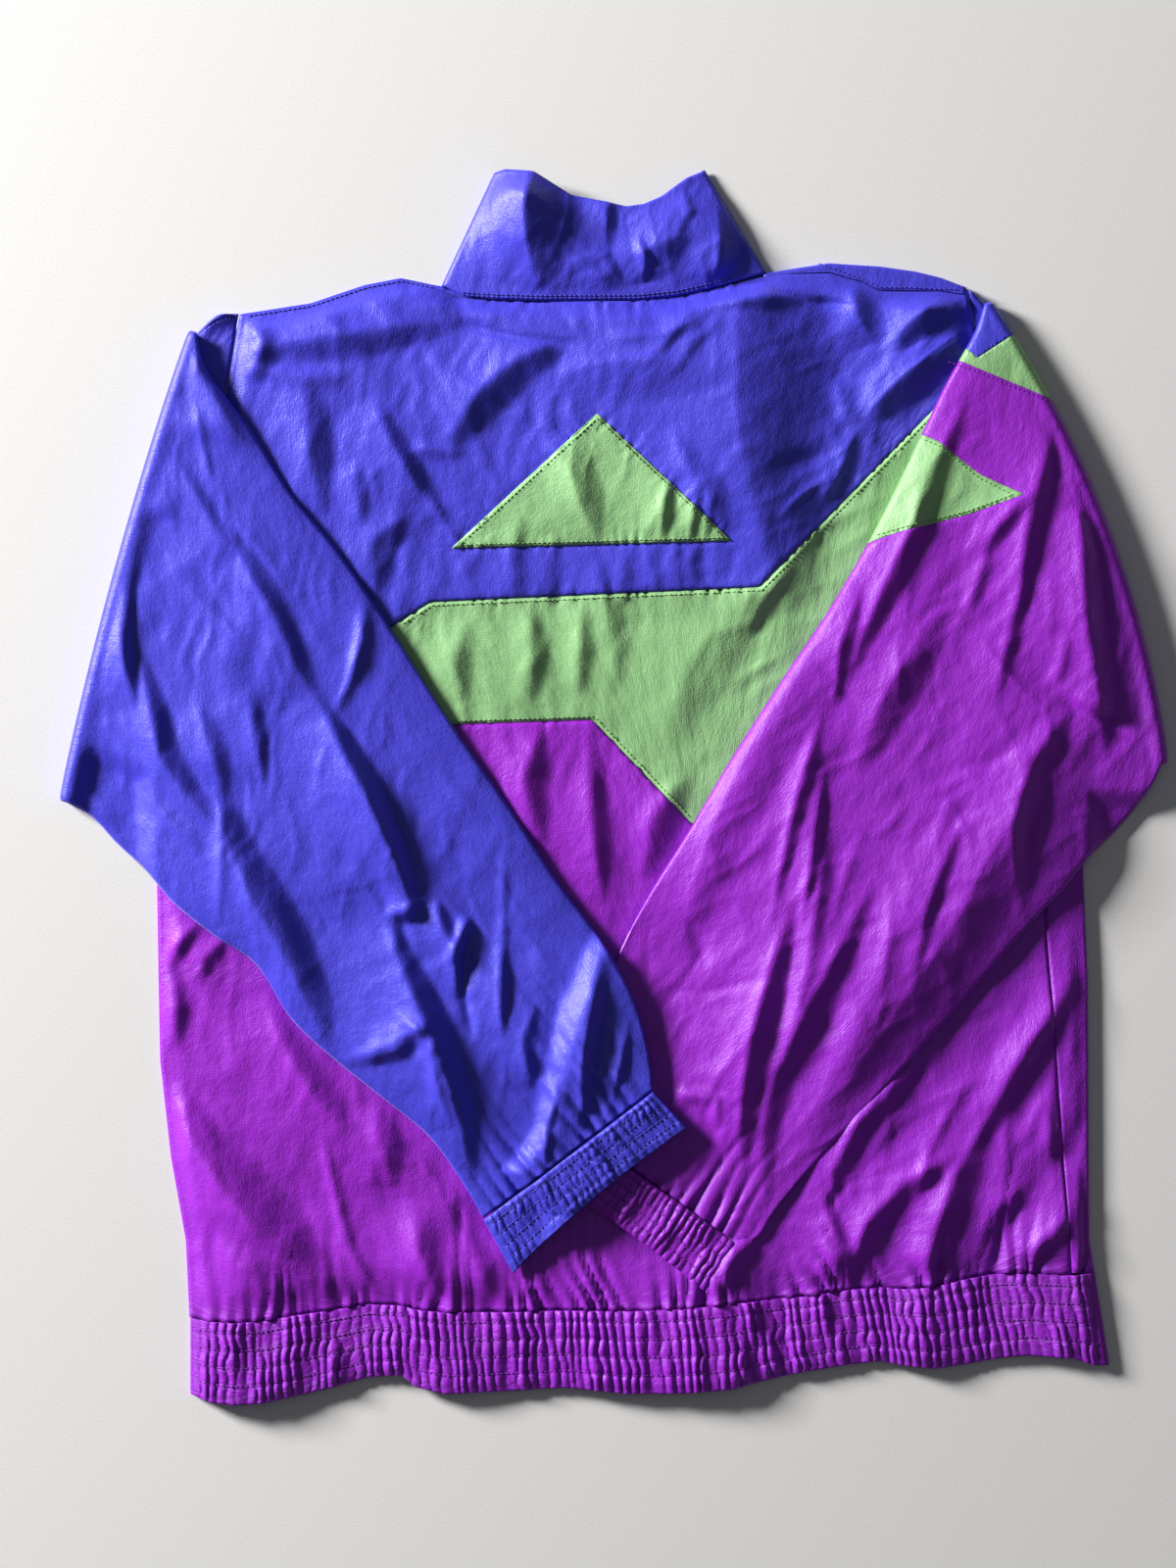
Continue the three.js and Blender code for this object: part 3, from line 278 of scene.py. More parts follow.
# Stepped folds: cloth that swells towards a line and falls steeply on the left of its travel.
# Each row is the half width of the fall, the reach of the swell, the height and the line.
BACK_STEPS = [
    (9, 26, 4.5, [(-92, 297), (-130, 288), (-170, 280), (-205, 277), (-244, 272)]),
    (9, 16, 4.0, [(-197, 266), (-189, 240), (-186, 208), (-183, 172)]),
    (5, 18, 4.0, [(-152, 250), (-139, 224), (-123, 196), (-106, 170)]),
    (10, 24, 5.5, [(-24, 286), (-58, 264), (-80, 245), (-96, 224), (-110, 214)]),
    (14, 14, 3.0, [(76, 258), (-40, 258)]),
    (34, 80, 10.5, [(104, 380), (122, 110)]),
    (8, 12, 4.5, [(158, 328), (163, 306), (172, 284)]),
    (9, 26, 6.5, [(242, 322), (216, 305), (196, 291), (176, 277)]),
    (10, 14, 6.0, [(226, 290), (206, 266), (186, 250), (162, 232)]),
    (6, 14, 1.6, [(158, 236), (153, 205), (138, 178)]),
    (3, 9, 1.1, [(56, 306), (40, 287), (18, 262)]),
    (3, 9, 1.0, [(74, 300), (56, 284), (36, 258)]),
    (4, 8, 2.0, [(-36, 297), (-62, 302), (-100, 310), (-156, 319)]),
    (4, 8, 2.0, [(152, 312), (110, 309), (70, 306), (38, 308)]),
    (8, 14, 3.0, [(-126, 174), (-146, 154), (-150, 118)]),
    (5, 10, 2.0, [(-163, 208), (-160, 186), (-158, 166)]),
    (9, 14, 3.5, [(-22, 230), (-18, 200), (-10, 172), (-7, 154)]),
    (7, 10, 2.5, [(40, 230), (52, 206), (68, 190), (74, 160)]),
    (4, 7, 2.5, [(38, 198), (36, 176), (32, 154)]),
    (3, 6, 2.2, [(56, 194), (54, 174), (50, 154)]),
    (3, 6, 1.8, [(65, 188), (62, 170), (60, 156)]),
    (5, 10, 1.3, [(-58, 174), (-60, 150), (-56, 116)]),
    (4, 9, 1.2, [(-34, 158), (-38, 140), (-34, 116)]),
    (7, 14, 1.9, [(-12, 156), (-6, 138), (2, 118), (6, 86), (4, 56)]),
    (4, 9, 1.2, [(14, 156), (10, 136), (14, 118)]),
    (4, 9, 1.3, [(30, 158), (28, 140), (32, 120)]),
    (4, 9, 1.2, [(44, 160), (42, 142), (46, 120)]),
    (4, 9, 1.3, [(58, 158), (52, 142), (56, 122)]),
    (6, 12, 2.8, [(-50, 120), (-46, 84), (-52, 48)]),
    (6, 12, 2.2, [(-92, 106), (-96, 76), (-92, 54)]),
    (5, 10, 2.2, [(-18, 118), (-16, 90), (-20, 56)]),
    (14, 22, 2.6, [(98, 126), (70, 84), (52, 54), (34, 20)]),
    (5, 10, 2.5, [(118, 142), (100, 116), (84, 90)]),
    (8, 14, 4.0, [(-42, 38), (-50, 4), (-42, -36)]),
    (6, 12, 3.2, [(-12, 22), (-8, -22), (-4, -76)]),
    (9, 14, 3.5, [(52, 8), (34, -24), (22, -62)]),
    (8, 22, 4.0, [(-222, -132), (-204, -166), (-182, -200), (-156, -232)]),
    (15, 20, 7.5, [(-284, -190), (-256, -228), (-228, -262), (-198, -294), (-172, -326)]),
    (4, 9, 3.0, [(-262, -86), (-276, -104), (-292, -132)]),
    (7, 12, 4.5, [(-284, -110), (-279, -142), (-286, -182)]),
    (4, 8, 2.0, [(-246, -98), (-258, -112), (-264, -128)]),
    (8, 14, 3.5, [(-150, -204), (-140, -230), (-138, -258)]),
    (9, 16, 4.0, [(-124, -264), (-116, -296), (-104, -332)]),
    (6, 12, 3.2, [(-92, -284), (-80, -308), (-74, -334)]),
    (8, 14, 3.0, [(-252, -290), (-228, -306), (-206, -332)]),
    (7, 18, 4.5, [(306, -112), (284, -152), (262, -186), (244, -216), (228, -238)]),
    (9, 14, 5.0, [(238, -222), (226, -252), (216, -286), (198, -328)]),
    (7, 16, 5.0, [(224, -236), (190, -260), (168, -284), (150, -324)]),
    (7, 16, 4.5, [(212, -168), (184, -194), (162, -220), (146, -248), (136, -278)]),
    (5, 10, 3.5, [(134, -262), (146, -290), (158, -332)]),
    (6, 14, 2.4, [(276, -250), (246, -280), (236, -318)]),
    (5, 12, 2.0, [(306, -266), (284, -291), (256, -322)]),
    (6, 12, 3.5, [(98, -288), (80, -306), (68, -334)]),
    (3, 6, 1.6, [(286, -176), (282, -214), (286, -264)]),
]
# Soft folds: the half width, the height (a trough when negative) and the line.
BACK_FOLDS = [
    (6, 4.0, [(-236, 304), (-224, 284), (-232, 258)]),
    (6, 2.8, [(-237, 268), (-205, 262), (-171, 261)]), (4, 2.0, [(-134, 214), (-122, 215), (-95, 213)]),
    (2.5, -2.2, [(100, 318), (126, 311), (157, 306)]), (2.5, -2.4, [(-100, 296), (-60, 286), (-20, 282)]),
    (5, 2.8, [(-60, 300), (-96, 304), (-128, 310)]), (5, 2.4, [(143, 262), (151, 230)]),
    (6, -2.0, [(96, 203), (143, 214)]), (3, 2.4, [(-187, -223), (-169, -298), (-148, -330)]),
    (5, 2.4, [(263, -304), (292, -276)]), (5, 2.0, [(60, 300), (30, 288), (-6, 286)]),
    (4, 1.8, [(226, -190), (202, -236), (190, -280)]), (4, 1.8, [(278, -196), (262, -232)]),
]
LEFT_STEPS = [
    (5, 22, 6.0, [(-302, 160), (-310, 128), (-311, 94), (-304, 50)]),
    (7, 20, 6.0, [(-301, 82), (-291, 52), (-284, 22), (-268, -4), (-246, -32)]),
    (11, 34, 9.0, [(-252, 2), (-236, -40), (-217, -75), (-200, -106), (-187, -138), (-177, -178)]),
    (6, 24, 4.0, [(-252, 176), (-228, 138), (-208, 102), (-197, 74), (-183, 44)]),
    (7, 30, 9.0, [(-188, 60), (-168, 24), (-153, 0), (-140, -30), (-130, -58), (-125, -88)]),
    (4, 8, 4.0, [(-118, -72), (-130, -84), (-146, -84)]),
    (8, 26, 8.5, [(-141, -80), (-134, -106), (-120, -134), (-108, -158), (-98, -188), (-92, -216),
                  (-88, -256)]),
    (4, 9, 3.5, [(-112, -72), (-104, -94), (-100, -106)]),
    (4, 8, 3.5, [(-91, -86), (-97, -108), (-97, -136)]),
    (3, 8, 2.5, [(-70, -102), (-70, -130), (-69, -162)]),
    (4, 10, 2.5, [(-47, -138), (-54, -164), (-50, -194)]),
    (6, 22, 6.5, [(-5, -100), (-8, -138), (-14, -178), (-18, -220)]),
    (3, 7, 2.8, [(12, -148), (8, -176), (0, -202)]),
    (3, 7, 2.5, [(-32, -194), (-40, -218), (-42, -246)]),
    (6, 14, 4.5, [(-110, -150), (-138, -170), (-174, -181)]),
    (8, 20, 2.6, [(-210, 202), (-250, 222), (-294, 230)]),
    (4, 10, 2.2, [(-279, 212), (-258, 178), (-241, 146)]),
    (5, 14, 2.4, [(-278, 170), (-316, 179)]),
    (6, 16, 3.0, [(-264, 54), (-250, 20), (-246, -10)]),
    (5, 12, 2.4, [(-231, 64), (-224, 30), (-222, 0)]),
    (4, 12, 2.6, [(-342, 0), (-328, -10), (-310, -20)]),
]
LEFT_FOLDS = [
    (8, 9.0, [(-288, 318), (-262, 262), (-236, 216)]),
    (4, 3.6, [(-140, -154), (-132, -151), (-122, -158), (-116, -168), (-113, -191), (-103, -218)]),
    (4, 3, [(-164, -177), (-136, -168), (-128, -166)]), (3.5, 3.2, [(-105, -114), (-95, -90), (-92, -84)]),
    (3, -2.4, [(-92, -93), (-96, -130), (-89, -163)]), (3, 1.4, [(-70, -37), (-70, -154)]),
    (5, 3.0, [(-158, 122), (-166, 64)]), (3, 3.0, [(-179, 44), (-169, 64), (-160, 93), (-156, 117)]),
    (4, 2.4, [(-300, -5), (-262, -45)]), (4, 2.6, [(-250, -8), (-250, -50), (-252, -92)]),
    (4, 2.2, [(-286, 260), (-296, 216)]), (3, 2.0, [(-268, 250), (-262, 216), (-256, 190)]),
]
RIGHT_STEPS = [
    (14, 18, 5.0, [(162, 140), (142, 92), (120, 52), (98, 14), (78, -26), (60, -66), (48, -110)]),
    (7, 16, 6.5, [(229, 250), (214, 214), (204, 188), (196, 162), (182, 132), (162, 92), (152, 66)]),
    (4, 9, 3.5, [(160, 126), (149, 90), (143, 50)]),
    (10, 20, 4.0, [(218, 114), (192, 72), (178, 46), (158, 4)]),
    (4, 8, 3.0, [(136, 48), (124, 4), (114, -36), (105, -76)]),
    (3, 8, 2.5, [(137, 14), (130, -44), (121, -90)]),
    (8, 24, 6.5, [(118, -72), (106, -120), (96, -160), (88, -200), (85, -248)]),
    (8, 22, 5.0, [(170, -60), (150, -104), (130, -148), (110, -188), (101, -224), (100, -272)]),
    (4, 14, 2.4, [(267, 144), (256, 92), (245, 50)]),
    (7, 16, 5.0, [(287, 238), (279, 198), (270, 160), (261, 108)]),
    (5, 10, 3.5, [(270, 186), (250, 164), (236, 144)]),
    (9, 26, 7.0, [(301, 210), (306, 160), (310, 110), (316, 60), (318, 16)]),
    (4, 9, 3.0, [(336, 42), (306, 46), (282, 64)]),
    (9, 26, 6.5, [(296, 52), (274, 12), (263, -28), (264, -88)]),
    (4, 14, 2.6, [(225, -22), (210, -60), (200, -92), (193, -130)]),
    (16, 30, 6.5, [(270, 2), (252, -46), (236, -88), (212, -126), (184, -162), (148, -198)]),
]
RIGHT_FOLDS = [
    (6, 3.4, [(137, -30), (125, -112), (110, -174)]), (12, 3.6, [(199, -40), (164, -140), (117, -230)]),
    (4, 3.2, [(40, -198), (56, -199), (66, -202), (67, -220)]), (6, -2.2, [(48, -83), (61, -117)]),
    (4, -2.6, [(285, 53), (331, 36)]), (4, 2.4, [(240, 150), (226, 110)]), (4, 2.2, [(290, 96), (282, 60)]),
]
COLLAR_STEPS = [
    (19, 24, 11.5, [(-34, 430), (-38, 370), (-42, 316)]),
    (4, 12, 2.0, [(-30, 352), (-4, 340), (9, 318)]),
    (4, 12, 1.6, [(-3, 384), (0, 362), (-3, 338)]),
    (5, 12, 2.2, [(-34, 348), (-12, 334), (6, 318)]),
    (7, 16, 2.6, [(52, 352), (34, 340), (14, 336)]),
    (9, 26, 7.0, [(71, 388), (78, 352), (71, 314)]),
    (3, 9, 1.4, [(44, 388), (52, 368), (40, 348)]),
    (3, 8, 2.2, [(17, 352), (24, 336), (20, 320)]),
    (3.5, 12, 2.4, [(-83, 364), (-92, 340), (-99, 326)]),
]
# Slow waves of the waistband, which the cloth above it follows
WAIST_WAVES = table("x z", [
    (-271, 0), (-242, 6), (-150, -1.5), (-106, 3.5), (-42, -1), (40, 4.5), (72, 6), (110, -1.5), (128, 0.5),
    (176, -1.5), (198, 3), (240, -1.5), (292, 3), (310, 1),
])
WAVE_REACH = 34


def mix(a, b, t):
    return a + (b - a) * t


def smooth(v):
    v = np.clip(v, 0, 1)
    return v * v * (3 - 2 * v)


def reader(rows, across, value):
    """One column of a table read from another, straight between its rows."""
    return lambda at: np.interp(at, rows[across], rows[value])


left_x = reader(LEFT_SIDE, "y", "x")
right_x = reader(RIGHT_SIDE, "y", "x")
side_seam_x = reader(RIGHT_SIDE_SEAM, "y", "x")
back_top_y = reader(BACK_TOP, "x", "y")
shoulder_fold_y = reader(SHOULDER_FOLD, "x", "y")
waist_seam_y = reader(WAIST, "x", "seam")
waist_edge_y = reader(WAIST, "x", "edge")
band_top_y = reader(BAND_TOP, "x", "y")
band_low_y = reader(BAND_LOW, "x", "y")
hidden_sleeve_x = reader(HIDDEN_SLEEVE_EDGE, "y", "x")


def zip_x(y):
    return ZIP_X_AT_ORIGIN + ZIP_LEAN * y


def zip_rise(y):
    return HALF + ZIP_RISE * smooth((y - ZIP_RISE_START) / (ZIP_RISE_END - ZIP_RISE_START))


# Noise that repeats exactly on each run
NOISE_CELLS = 256


@functools.lru_cache(maxsize=None)
def random_cells(seed):
    return np.random.default_rng(seed).uniform(-1, 1, (NOISE_CELLS, NOISE_CELLS))


def noise(x, y, size, seed):
    grid = random_cells(seed)
    u, v = x / size, y / size
    i, j = np.floor(u).astype(int), np.floor(v).astype(int)
    s, t = smooth(u - i), smooth(v - j)
    i0, i1, j0, j1 = i % NOISE_CELLS, (i + 1) % NOISE_CELLS, j % NOISE_CELLS, (j + 1) % NOISE_CELLS
    return mix(mix(grid[i0, j0], grid[i1, j0], s), mix(grid[i0, j1], grid[i1, j1], s), t)


def rolls(x, y, degrees, width, stretch, seed):
    """Soft rolls of cloth along an angle, each steeper on its right."""
    turn = math.radians(degrees)
    along = (x * math.cos(turn) + y * math.sin(turn)) / stretch
    across = x * math.sin(turn) - y * math.cos(turn)
    across = across + 0.9 * width * noise(x, y, 2.6 * width, seed + 1)
    lean = width * noise(across, along, width, seed)
    return noise(across - 0.9 * lean, along, width, seed)


def scatter(x, y, area, count, degrees, spread, tallest, seed):
    """Thin sharp creases scattered over an area, each steeper on its right."""
    pick = np.random.default_rng(seed)
    total = np.zeros(np.shape(x))
    for _ in range(count):
        centre_x, centre_y = pick.uniform(area[0], area[2]), pick.uniform(area[1], area[3])
        turn = math.radians(degrees + spread * pick.normal())
        reach, height, bend = pick.uniform(12, 46), tallest * pick.uniform(-0.7, 1), pick.uniform(-7, 7)
        left, right = pick.uniform(3, 9), pick.uniform(1.8, 3.2)
        near = (np.abs(x - centre_x) < reach + 16) & (np.abs(y - centre_y) < reach + 16)
        dx, dy = x[near] - centre_x, y[near] - centre_y
        along = (dx * math.cos(turn) + dy * math.sin(turn)) / reach
        across = dx * math.sin(turn) - dy * math.cos(turn) + bend * along**2
        width = np.where(across > 0, right, left)
        ridge = np.exp(-np.abs(across) / width)
        total[near] += height * ridge * np.maximum(0, 1 - along**2)
    return total


def ridged(x, y, degrees, width, stretch, seed):
    """Sharp creases along an angle with rounded cloth between them."""
    turn = math.radians(degrees)
    along = (x * math.cos(turn) + y * math.sin(turn)) / stretch
    across = x * math.sin(turn) - y * math.cos(turn)
    across = across + 0.7 * width * noise(x, y, 2.2 * width, seed + 1)
    return 1 - 2 * np.abs(noise(across, along, width, seed)) ** 0.8


def crinkle(x, y, seed, degrees):
    """Slow rolls along an angle, with patches of fine sharp creases across them."""
    patchy = smooth(0.6 + 1.5 * noise(x, y, 70, seed + 15))
    form = 2.6 * rolls(x, y, degrees, 55, 2.6, seed)
    form += 0.7 * patchy * rolls(x, y, degrees + 14, 23, 4.5, seed + 5)
    form += 0.8 * patchy * ridged(x, y, degrees + 24, 19, 2.8, seed + 20)
    return form + 0.6 * ridged(x, y, degrees - 35, 12, 2.4, seed + 30)


def polyline(line, x, y):
    """Signed distance (positive on the left of the travel) and place along a line of points."""
    best = np.full(np.shape(x), np.inf)
    signed = np.zeros(np.shape(x))
    place = np.zeros(np.shape(x))
    lengths = [math.dist(a, b) for a, b in zip(line, line[1:])]
    done = 0
    for (x0, y0), (x1, y1), length in zip(line, line[1:], lengths):
        dx, dy = (x1 - x0) / length, (y1 - y0) / length
        t = np.clip((x - x0) * dx + (y - y0) * dy, 0, length)
        away = np.hypot(x - x0 - t * dx, y - y0 - t * dy)
        side = np.sign(dx * (y - y0) - dy * (x - x0))
        closer = away < best
        best = np.where(closer, away, best)
        signed = np.where(closer, side * away, signed)
        place = np.where(closer, (done + t) / sum(lengths), place)
        done += length
    return signed, place


def ends(place, share=0.3):
    return np.sin(0.5 * math.pi * np.clip(np.minimum(place, 1 - place) / share, 0, 1))


def step_height(steps, x, y):
    """Height of stepped folds: cloth that swells to a crisp ridge, falls past it and narrows at its ends."""
    total = np.zeros(np.shape(x))
    for fall, swell, height, line in steps:
        signed, place = polyline(line, x, y)
        taper = ends(place, 0.5)
        half = fall * (0.3 + 0.7 * taper)
        past = np.clip((signed + half) / (2 * half), 0, 1)
        before = np.exp(-np.maximum(0, -signed - half) / swell)
        total += FOLD_STRENGTH * height * taper * before * (1 - mix(past, smooth(past), 0.5))
    return total


def fold_height(folds, x, y):
    total = np.zeros(np.shape(x))
    for width, height, line in folds:
        signed, place = polyline(line, x, y)
        total += height * np.exp(-np.abs(signed / width) ** 1.6) * ends(place)
    return total


def pleats(along, spacing, wander, seed):
    """Rounded pleats with narrow valleys, uneven in spacing and height, as shares of their height."""
    folds = np.abs(np.cos(math.pi * (along + wander) / spacing)) ** 0.7 - 0.6
    return folds * np.clip(0.8 + 0.8 * noise(along, 0 * along, spacing * 1.6, seed), 0.35, 1.5)


def seam_pull(line, x, y, spacing, reach, depth, seed):
    """A sewn groove with short uneven puckers that fade away from it."""
    signed, place = polyline(line, x, y)
    along = place * sum(math.dist(a, b) for a, b in zip(line, line[1:]))
    wander = 0.8 * spacing * noise(along, signed * 0.3, spacing * 1.8, seed)
    fade = reach * np.clip(0.7 + 0.9 * noise(along, 0 * along, spacing * 0.9, seed + 2), 0.25, 1.6)
    groove = -0.8 * np.exp(-((signed / 1.5) ** 2))
    return depth * pleats(along, spacing, wander, seed + 1) * np.exp(-np.abs(signed) / fade) + groove


def line_of(rows, low, high):
    points = [(x, y) for x, y in zip(rows["x"], rows["y"]) if low < x < high]
    return [(low, float(np.interp(low, rows["x"], rows["y"])))] + points + [
        (high, float(np.interp(high, rows["x"], rows["y"])))]


BAND_TOP_LINE = line_of(BAND_TOP, -300, 262)
BAND_LOW_LINE = line_of(BAND_LOW, -300, 275)
NECK_LINE = line_of(BACK_TOP, -97, 78)
TRIANGLE_LINE = [TRIANGLE_LEFT, TRIANGLE_APEX, TRIANGLE_RIGHT, TRIANGLE_LEFT]
# Puckered seams: the line, the spacing, reach and depth of its puckers, and a seed
BACK_SEAMS = [
    (BAND_TOP_LINE, 7, 6, 2.2, 31), (BAND_LOW_LINE, 7, 6, 2.0, 41),
    (TRIANGLE_LINE, 6.5, 4.5, 2.2, 51), (NECK_LINE, 8, 8, 2.4, 55),
]
# Scattered creases: the area, their count, angle, spread of angles and height, and a seed
BACK_CREASES = [
    ((-290, 40, -20, 320), 70, 112, 26, 1.5, 14), ((0, 40, 230, 320), 60, 60, 30, 1.5, 15),
    ((-290, -330, 0, 40), 80, 118, 22, 1.5, 16), ((0, -320, 290, 40), 80, 60, 22, 1.6, 17),
]


def outline_of(axis, run, cuff):
    over = [(axis["ox"], axis["oy"])] + [(a, b) for t in (run, cuff) for a, b in zip(t["ox"], t["oy"])]
    under = [(axis["ax"], axis["ay"])] + [(a, b) for t in (run, cuff) for a, b in zip(t["ax"], t["ay"])]
    return [(float(a), float(b)) for a, b in over + under[::-1]]


LEFT_OUTLINE = outline_of(LEFT_AXIS, LEFT_RUN, LEFT_CUFF)
RIGHT_OUTLINE = outline_of(RIGHT_AXIS, RIGHT_RUN, RIGHT_CUFF)


def inside_polygon(points, x, y):
    inside = np.zeros(x.shape, bool)
    for (x0, y0), (x1, y1) in zip(points, points[1:] + points[:1]):
        crosses = (y0 > y) != (y1 > y)
        at = x0 + (y - y0) * (x1 - x0) / ((y1 - y0) or 1e-9)
        inside ^= crosses & (x < at)
    return inside


def covered(outline, x, y, fade=14):
    """One under a sleeve and nothing outside it, with a fade inside its edge."""
    distance = np.abs(polyline(outline + outline[:1], x, y)[0])
    return np.where(inside_polygon(outline, x, y), smooth(distance / fade), 0.0)


waist_wave = reader(WAIST_WAVES, "x", "z")


def back_form(x, y):
    """Folds, crinkles, seams and gathers of the back cloth."""
    side = smooth((x + 60) / 200)
    form = step_height(BACK_STEPS, x, y) + fold_height(BACK_FOLDS, x, y)
    form += 0.75 * mix(crinkle(x, y, 11, 118), crinkle(x, y, 12, 62), side)
    for row in BACK_CREASES:
        form += scatter(x, y, *row)
    above_waist = y - waist_seam_y(x)
    form *= smooth((back_top_y(x) - y) / 14) * mix(0.3, 1, smooth(above_waist / 24))
    under = np.maximum(covered(LEFT_OUTLINE, x, y), covered(RIGHT_OUTLINE, x, y))
    for line, *pull in BACK_SEAMS:
        form += seam_pull(line, x, y, *pull)
    wander = 6 * noise(x, above_waist * 0.5, 17, 61) + 0.35 * above_waist * noise(x, 0 * x, 45, 64)
    reach = np.clip(18 + 24 * noise(x, 0 * x, 14, 63), 9, 42)
    form += WAIST_PUCKER_HEIGHT * pleats(x, WAIST_PUCKER_SPACING, wander, 62) * np.exp(-above_waist / reach)
    form += waist_wave(x) * np.exp(-above_waist / WAVE_REACH)
    return form * mix(1, COVERED_SHARE, under)


def side_distance(x, y):
    """Distance in from the free part of the nearer side edge."""
    right_distance = right_x(y) - x + np.maximum(0, 12 - y) + np.maximum(0, y - 296)
    return np.minimum(x - left_x(y), right_distance)


def neck_rise(x, y):
    away = np.hypot(x - NECK_RISE["x"], y - NECK_RISE["y"]) / NECK_RISE["reach"]
    return NECK_RISE["height"] * smooth(1 - away)


def back_height(x, y):
    """Middle of the back cloth, dropping to its edges and rising at the neck."""
    top_distance = back_top_y(x) - y + np.maximum(0, x + 130)
    edge = smooth(np.minimum(side_distance(x, y), top_distance) / EDGE_DROP_WIDTH)
    inner = smooth((back_top_y(x) - y) / 20) * smooth((y - waist_seam_y(x)) / 20)
    inner *= 1 - np.maximum(covered(LEFT_OUTLINE, x, y), covered(RIGHT_OUTLINE, x, y))
    z = mix(EDGE_MID, BACK_MID + BACK_SWELL * inner + back_form(x, y), edge)
    z = z + neck_rise(x, y) - LOWEST_BACK
    return LOWEST_BACK + 0.5 * (z + np.sqrt(z * z + 0.6))


def back_rest(x, y):
    """Plain height of the back under the sleeves."""
    edge = smooth(side_distance(x, y) / EDGE_DROP_WIDTH)
    return mix(EDGE_MID, BACK_MID, edge) + neck_rise(x, y)


# Grids of points

def patch(left, right, bottom, top, spacing, width, length):
    """Points spread between four edges, each edge a function of the other coordinate."""
    rows, cols = max(3, round(length / spacing)), max(3, round(width / spacing))
    t, s = np.meshgrid(np.linspace(0, 1, rows), np.linspace(0, 1, cols), indexing="ij")
    x = np.zeros_like(t)
    y = mix(bottom(x), top(x), t)
    for _ in range(FITTING_ROUNDS):
        x = mix(x, mix(left(y), right(y), s), 0.25)
        y = mix(bottom(x), top(x), t)
    return x, y


def stack(x, y, z):
    return np.stack([x, y, z], axis=-1)


def spline(rows, count):
    """Rows of a station table spread smoothly to an even count along their over-arm edge."""
    names = list(rows)
    values = np.stack([rows[n] for n in names], axis=1)
    gaps = np.hypot(*np.diff(0.5 * (values[:, :2] + values[:, 2:4]), axis=0).T)
    at = np.concatenate([[0], np.cumsum(gaps)])
    slopes = np.gradient(values, at, axis=0)
    want = np.linspace(0, at[-1], count)
    k = np.clip(np.searchsorted(at, want) - 1, 0, len(at) - 2)
    h = (at[k + 1] - at[k])[:, None]
    t = ((want - at[k]) / h[:, 0])[:, None]
    a, b, c, d = values[k], slopes[k] * h, values[k + 1], slopes[k + 1] * h
    curve = (2 * t**3 - 3 * t**2 + 1) * a + (t**3 - 2 * t**2 + t) * b
    curve += (3 * t**2 - 2 * t**3) * c + (t**3 - t**2) * d
    return [dict(zip(names, row)) for row in curve], want


def bowed(station, t, side):
    dx, dy = station["ax"] - station["ox"], station["ay"] - station["oy"]
    length = math.hypot(dx, dy)
    out_x, out_y = side * -dy / length, side * dx / length
    bow = 4 * t * (1 - t) * station["bow"]
    return station["ox"] + dx * t + out_x * bow, station["oy"] + dy * t + out_y * bow, out_x, out_y


def roundness(w):
    return np.sign(w) * np.abs(w) ** 0.62


def around(columns, side):
    """Angles round a flattened tube, closer together on its upper side."""
    upper = round(columns * UPPER_SHARE)

    def half(count):
        s = np.linspace(0, 1, count + 1)
        return np.arccos(1 - 2 * mix(s, (1 - np.cos(math.pi * s)) / 2, 0.4))

    if side < 0:
        return np.concatenate([half(upper), math.pi + half(columns - upper)[1:]])
    return -np.concatenate([half(columns - upper), math.pi + half(upper)[1:]])


def turning_ring(station, columns, side, tilt, centre, half, shift):
    angle = around(columns, side)
    x, y, out_x, out_y = bowed(station, (1 - np.cos(angle)) / 2, side)
    reach = half * roundness(np.sin(angle))
    out = shift + reach * math.sin(tilt)
    return stack(x + out_x * out, y + out_y * out, centre - reach * math.cos(tilt))


def lying_ring(station, columns, side, rest, loft):
    """A flattened ring on what it lies on, with the share of creases each point takes."""
    angle = around(columns, side)
    x, y, _, _ = bowed(station, (1 - np.cos(angle)) / 2, side)
    under = rest(x, y) + HALF
    w = np.sin(angle)
    edge = under + min(loft, 5) / 2
    z = np.where(w > 0, edge + (under + loft - edge) * roundness(w), edge + (edge - under) * roundness(w))
    return stack(x, y, z), np.clip(w, 0, 1) ** 0.8


def beyond(elbow, side, x, y):
    ex, ey, slope = elbow
    out = side * (x - ex)
    down = ey + side * slope * (x - ex) - y
    return smooth(np.minimum(out, down - 4) / 16)


def rest_on_back(x, y, side):
    on_back = np.maximum(BACK_MID, back_rest(x, y)) + HALF + LAYER_GAP
    return mix(on_back, 0.2, beyond(LEFT_ELBOW if side < 0 else RIGHT_ELBOW, side, x, y))


def rest_right(x, y):
    return rest_on_back(x, y, 1)


def rest_left(x, y):
    over = smooth((x - hidden_sleeve_x(y) + CROSSING_BLEND) / (CROSSING_BLEND - 6))
    return rest_on_back(x, y, -1) + CROSSING_LIFT * over * smooth((-y - 10) / 60)


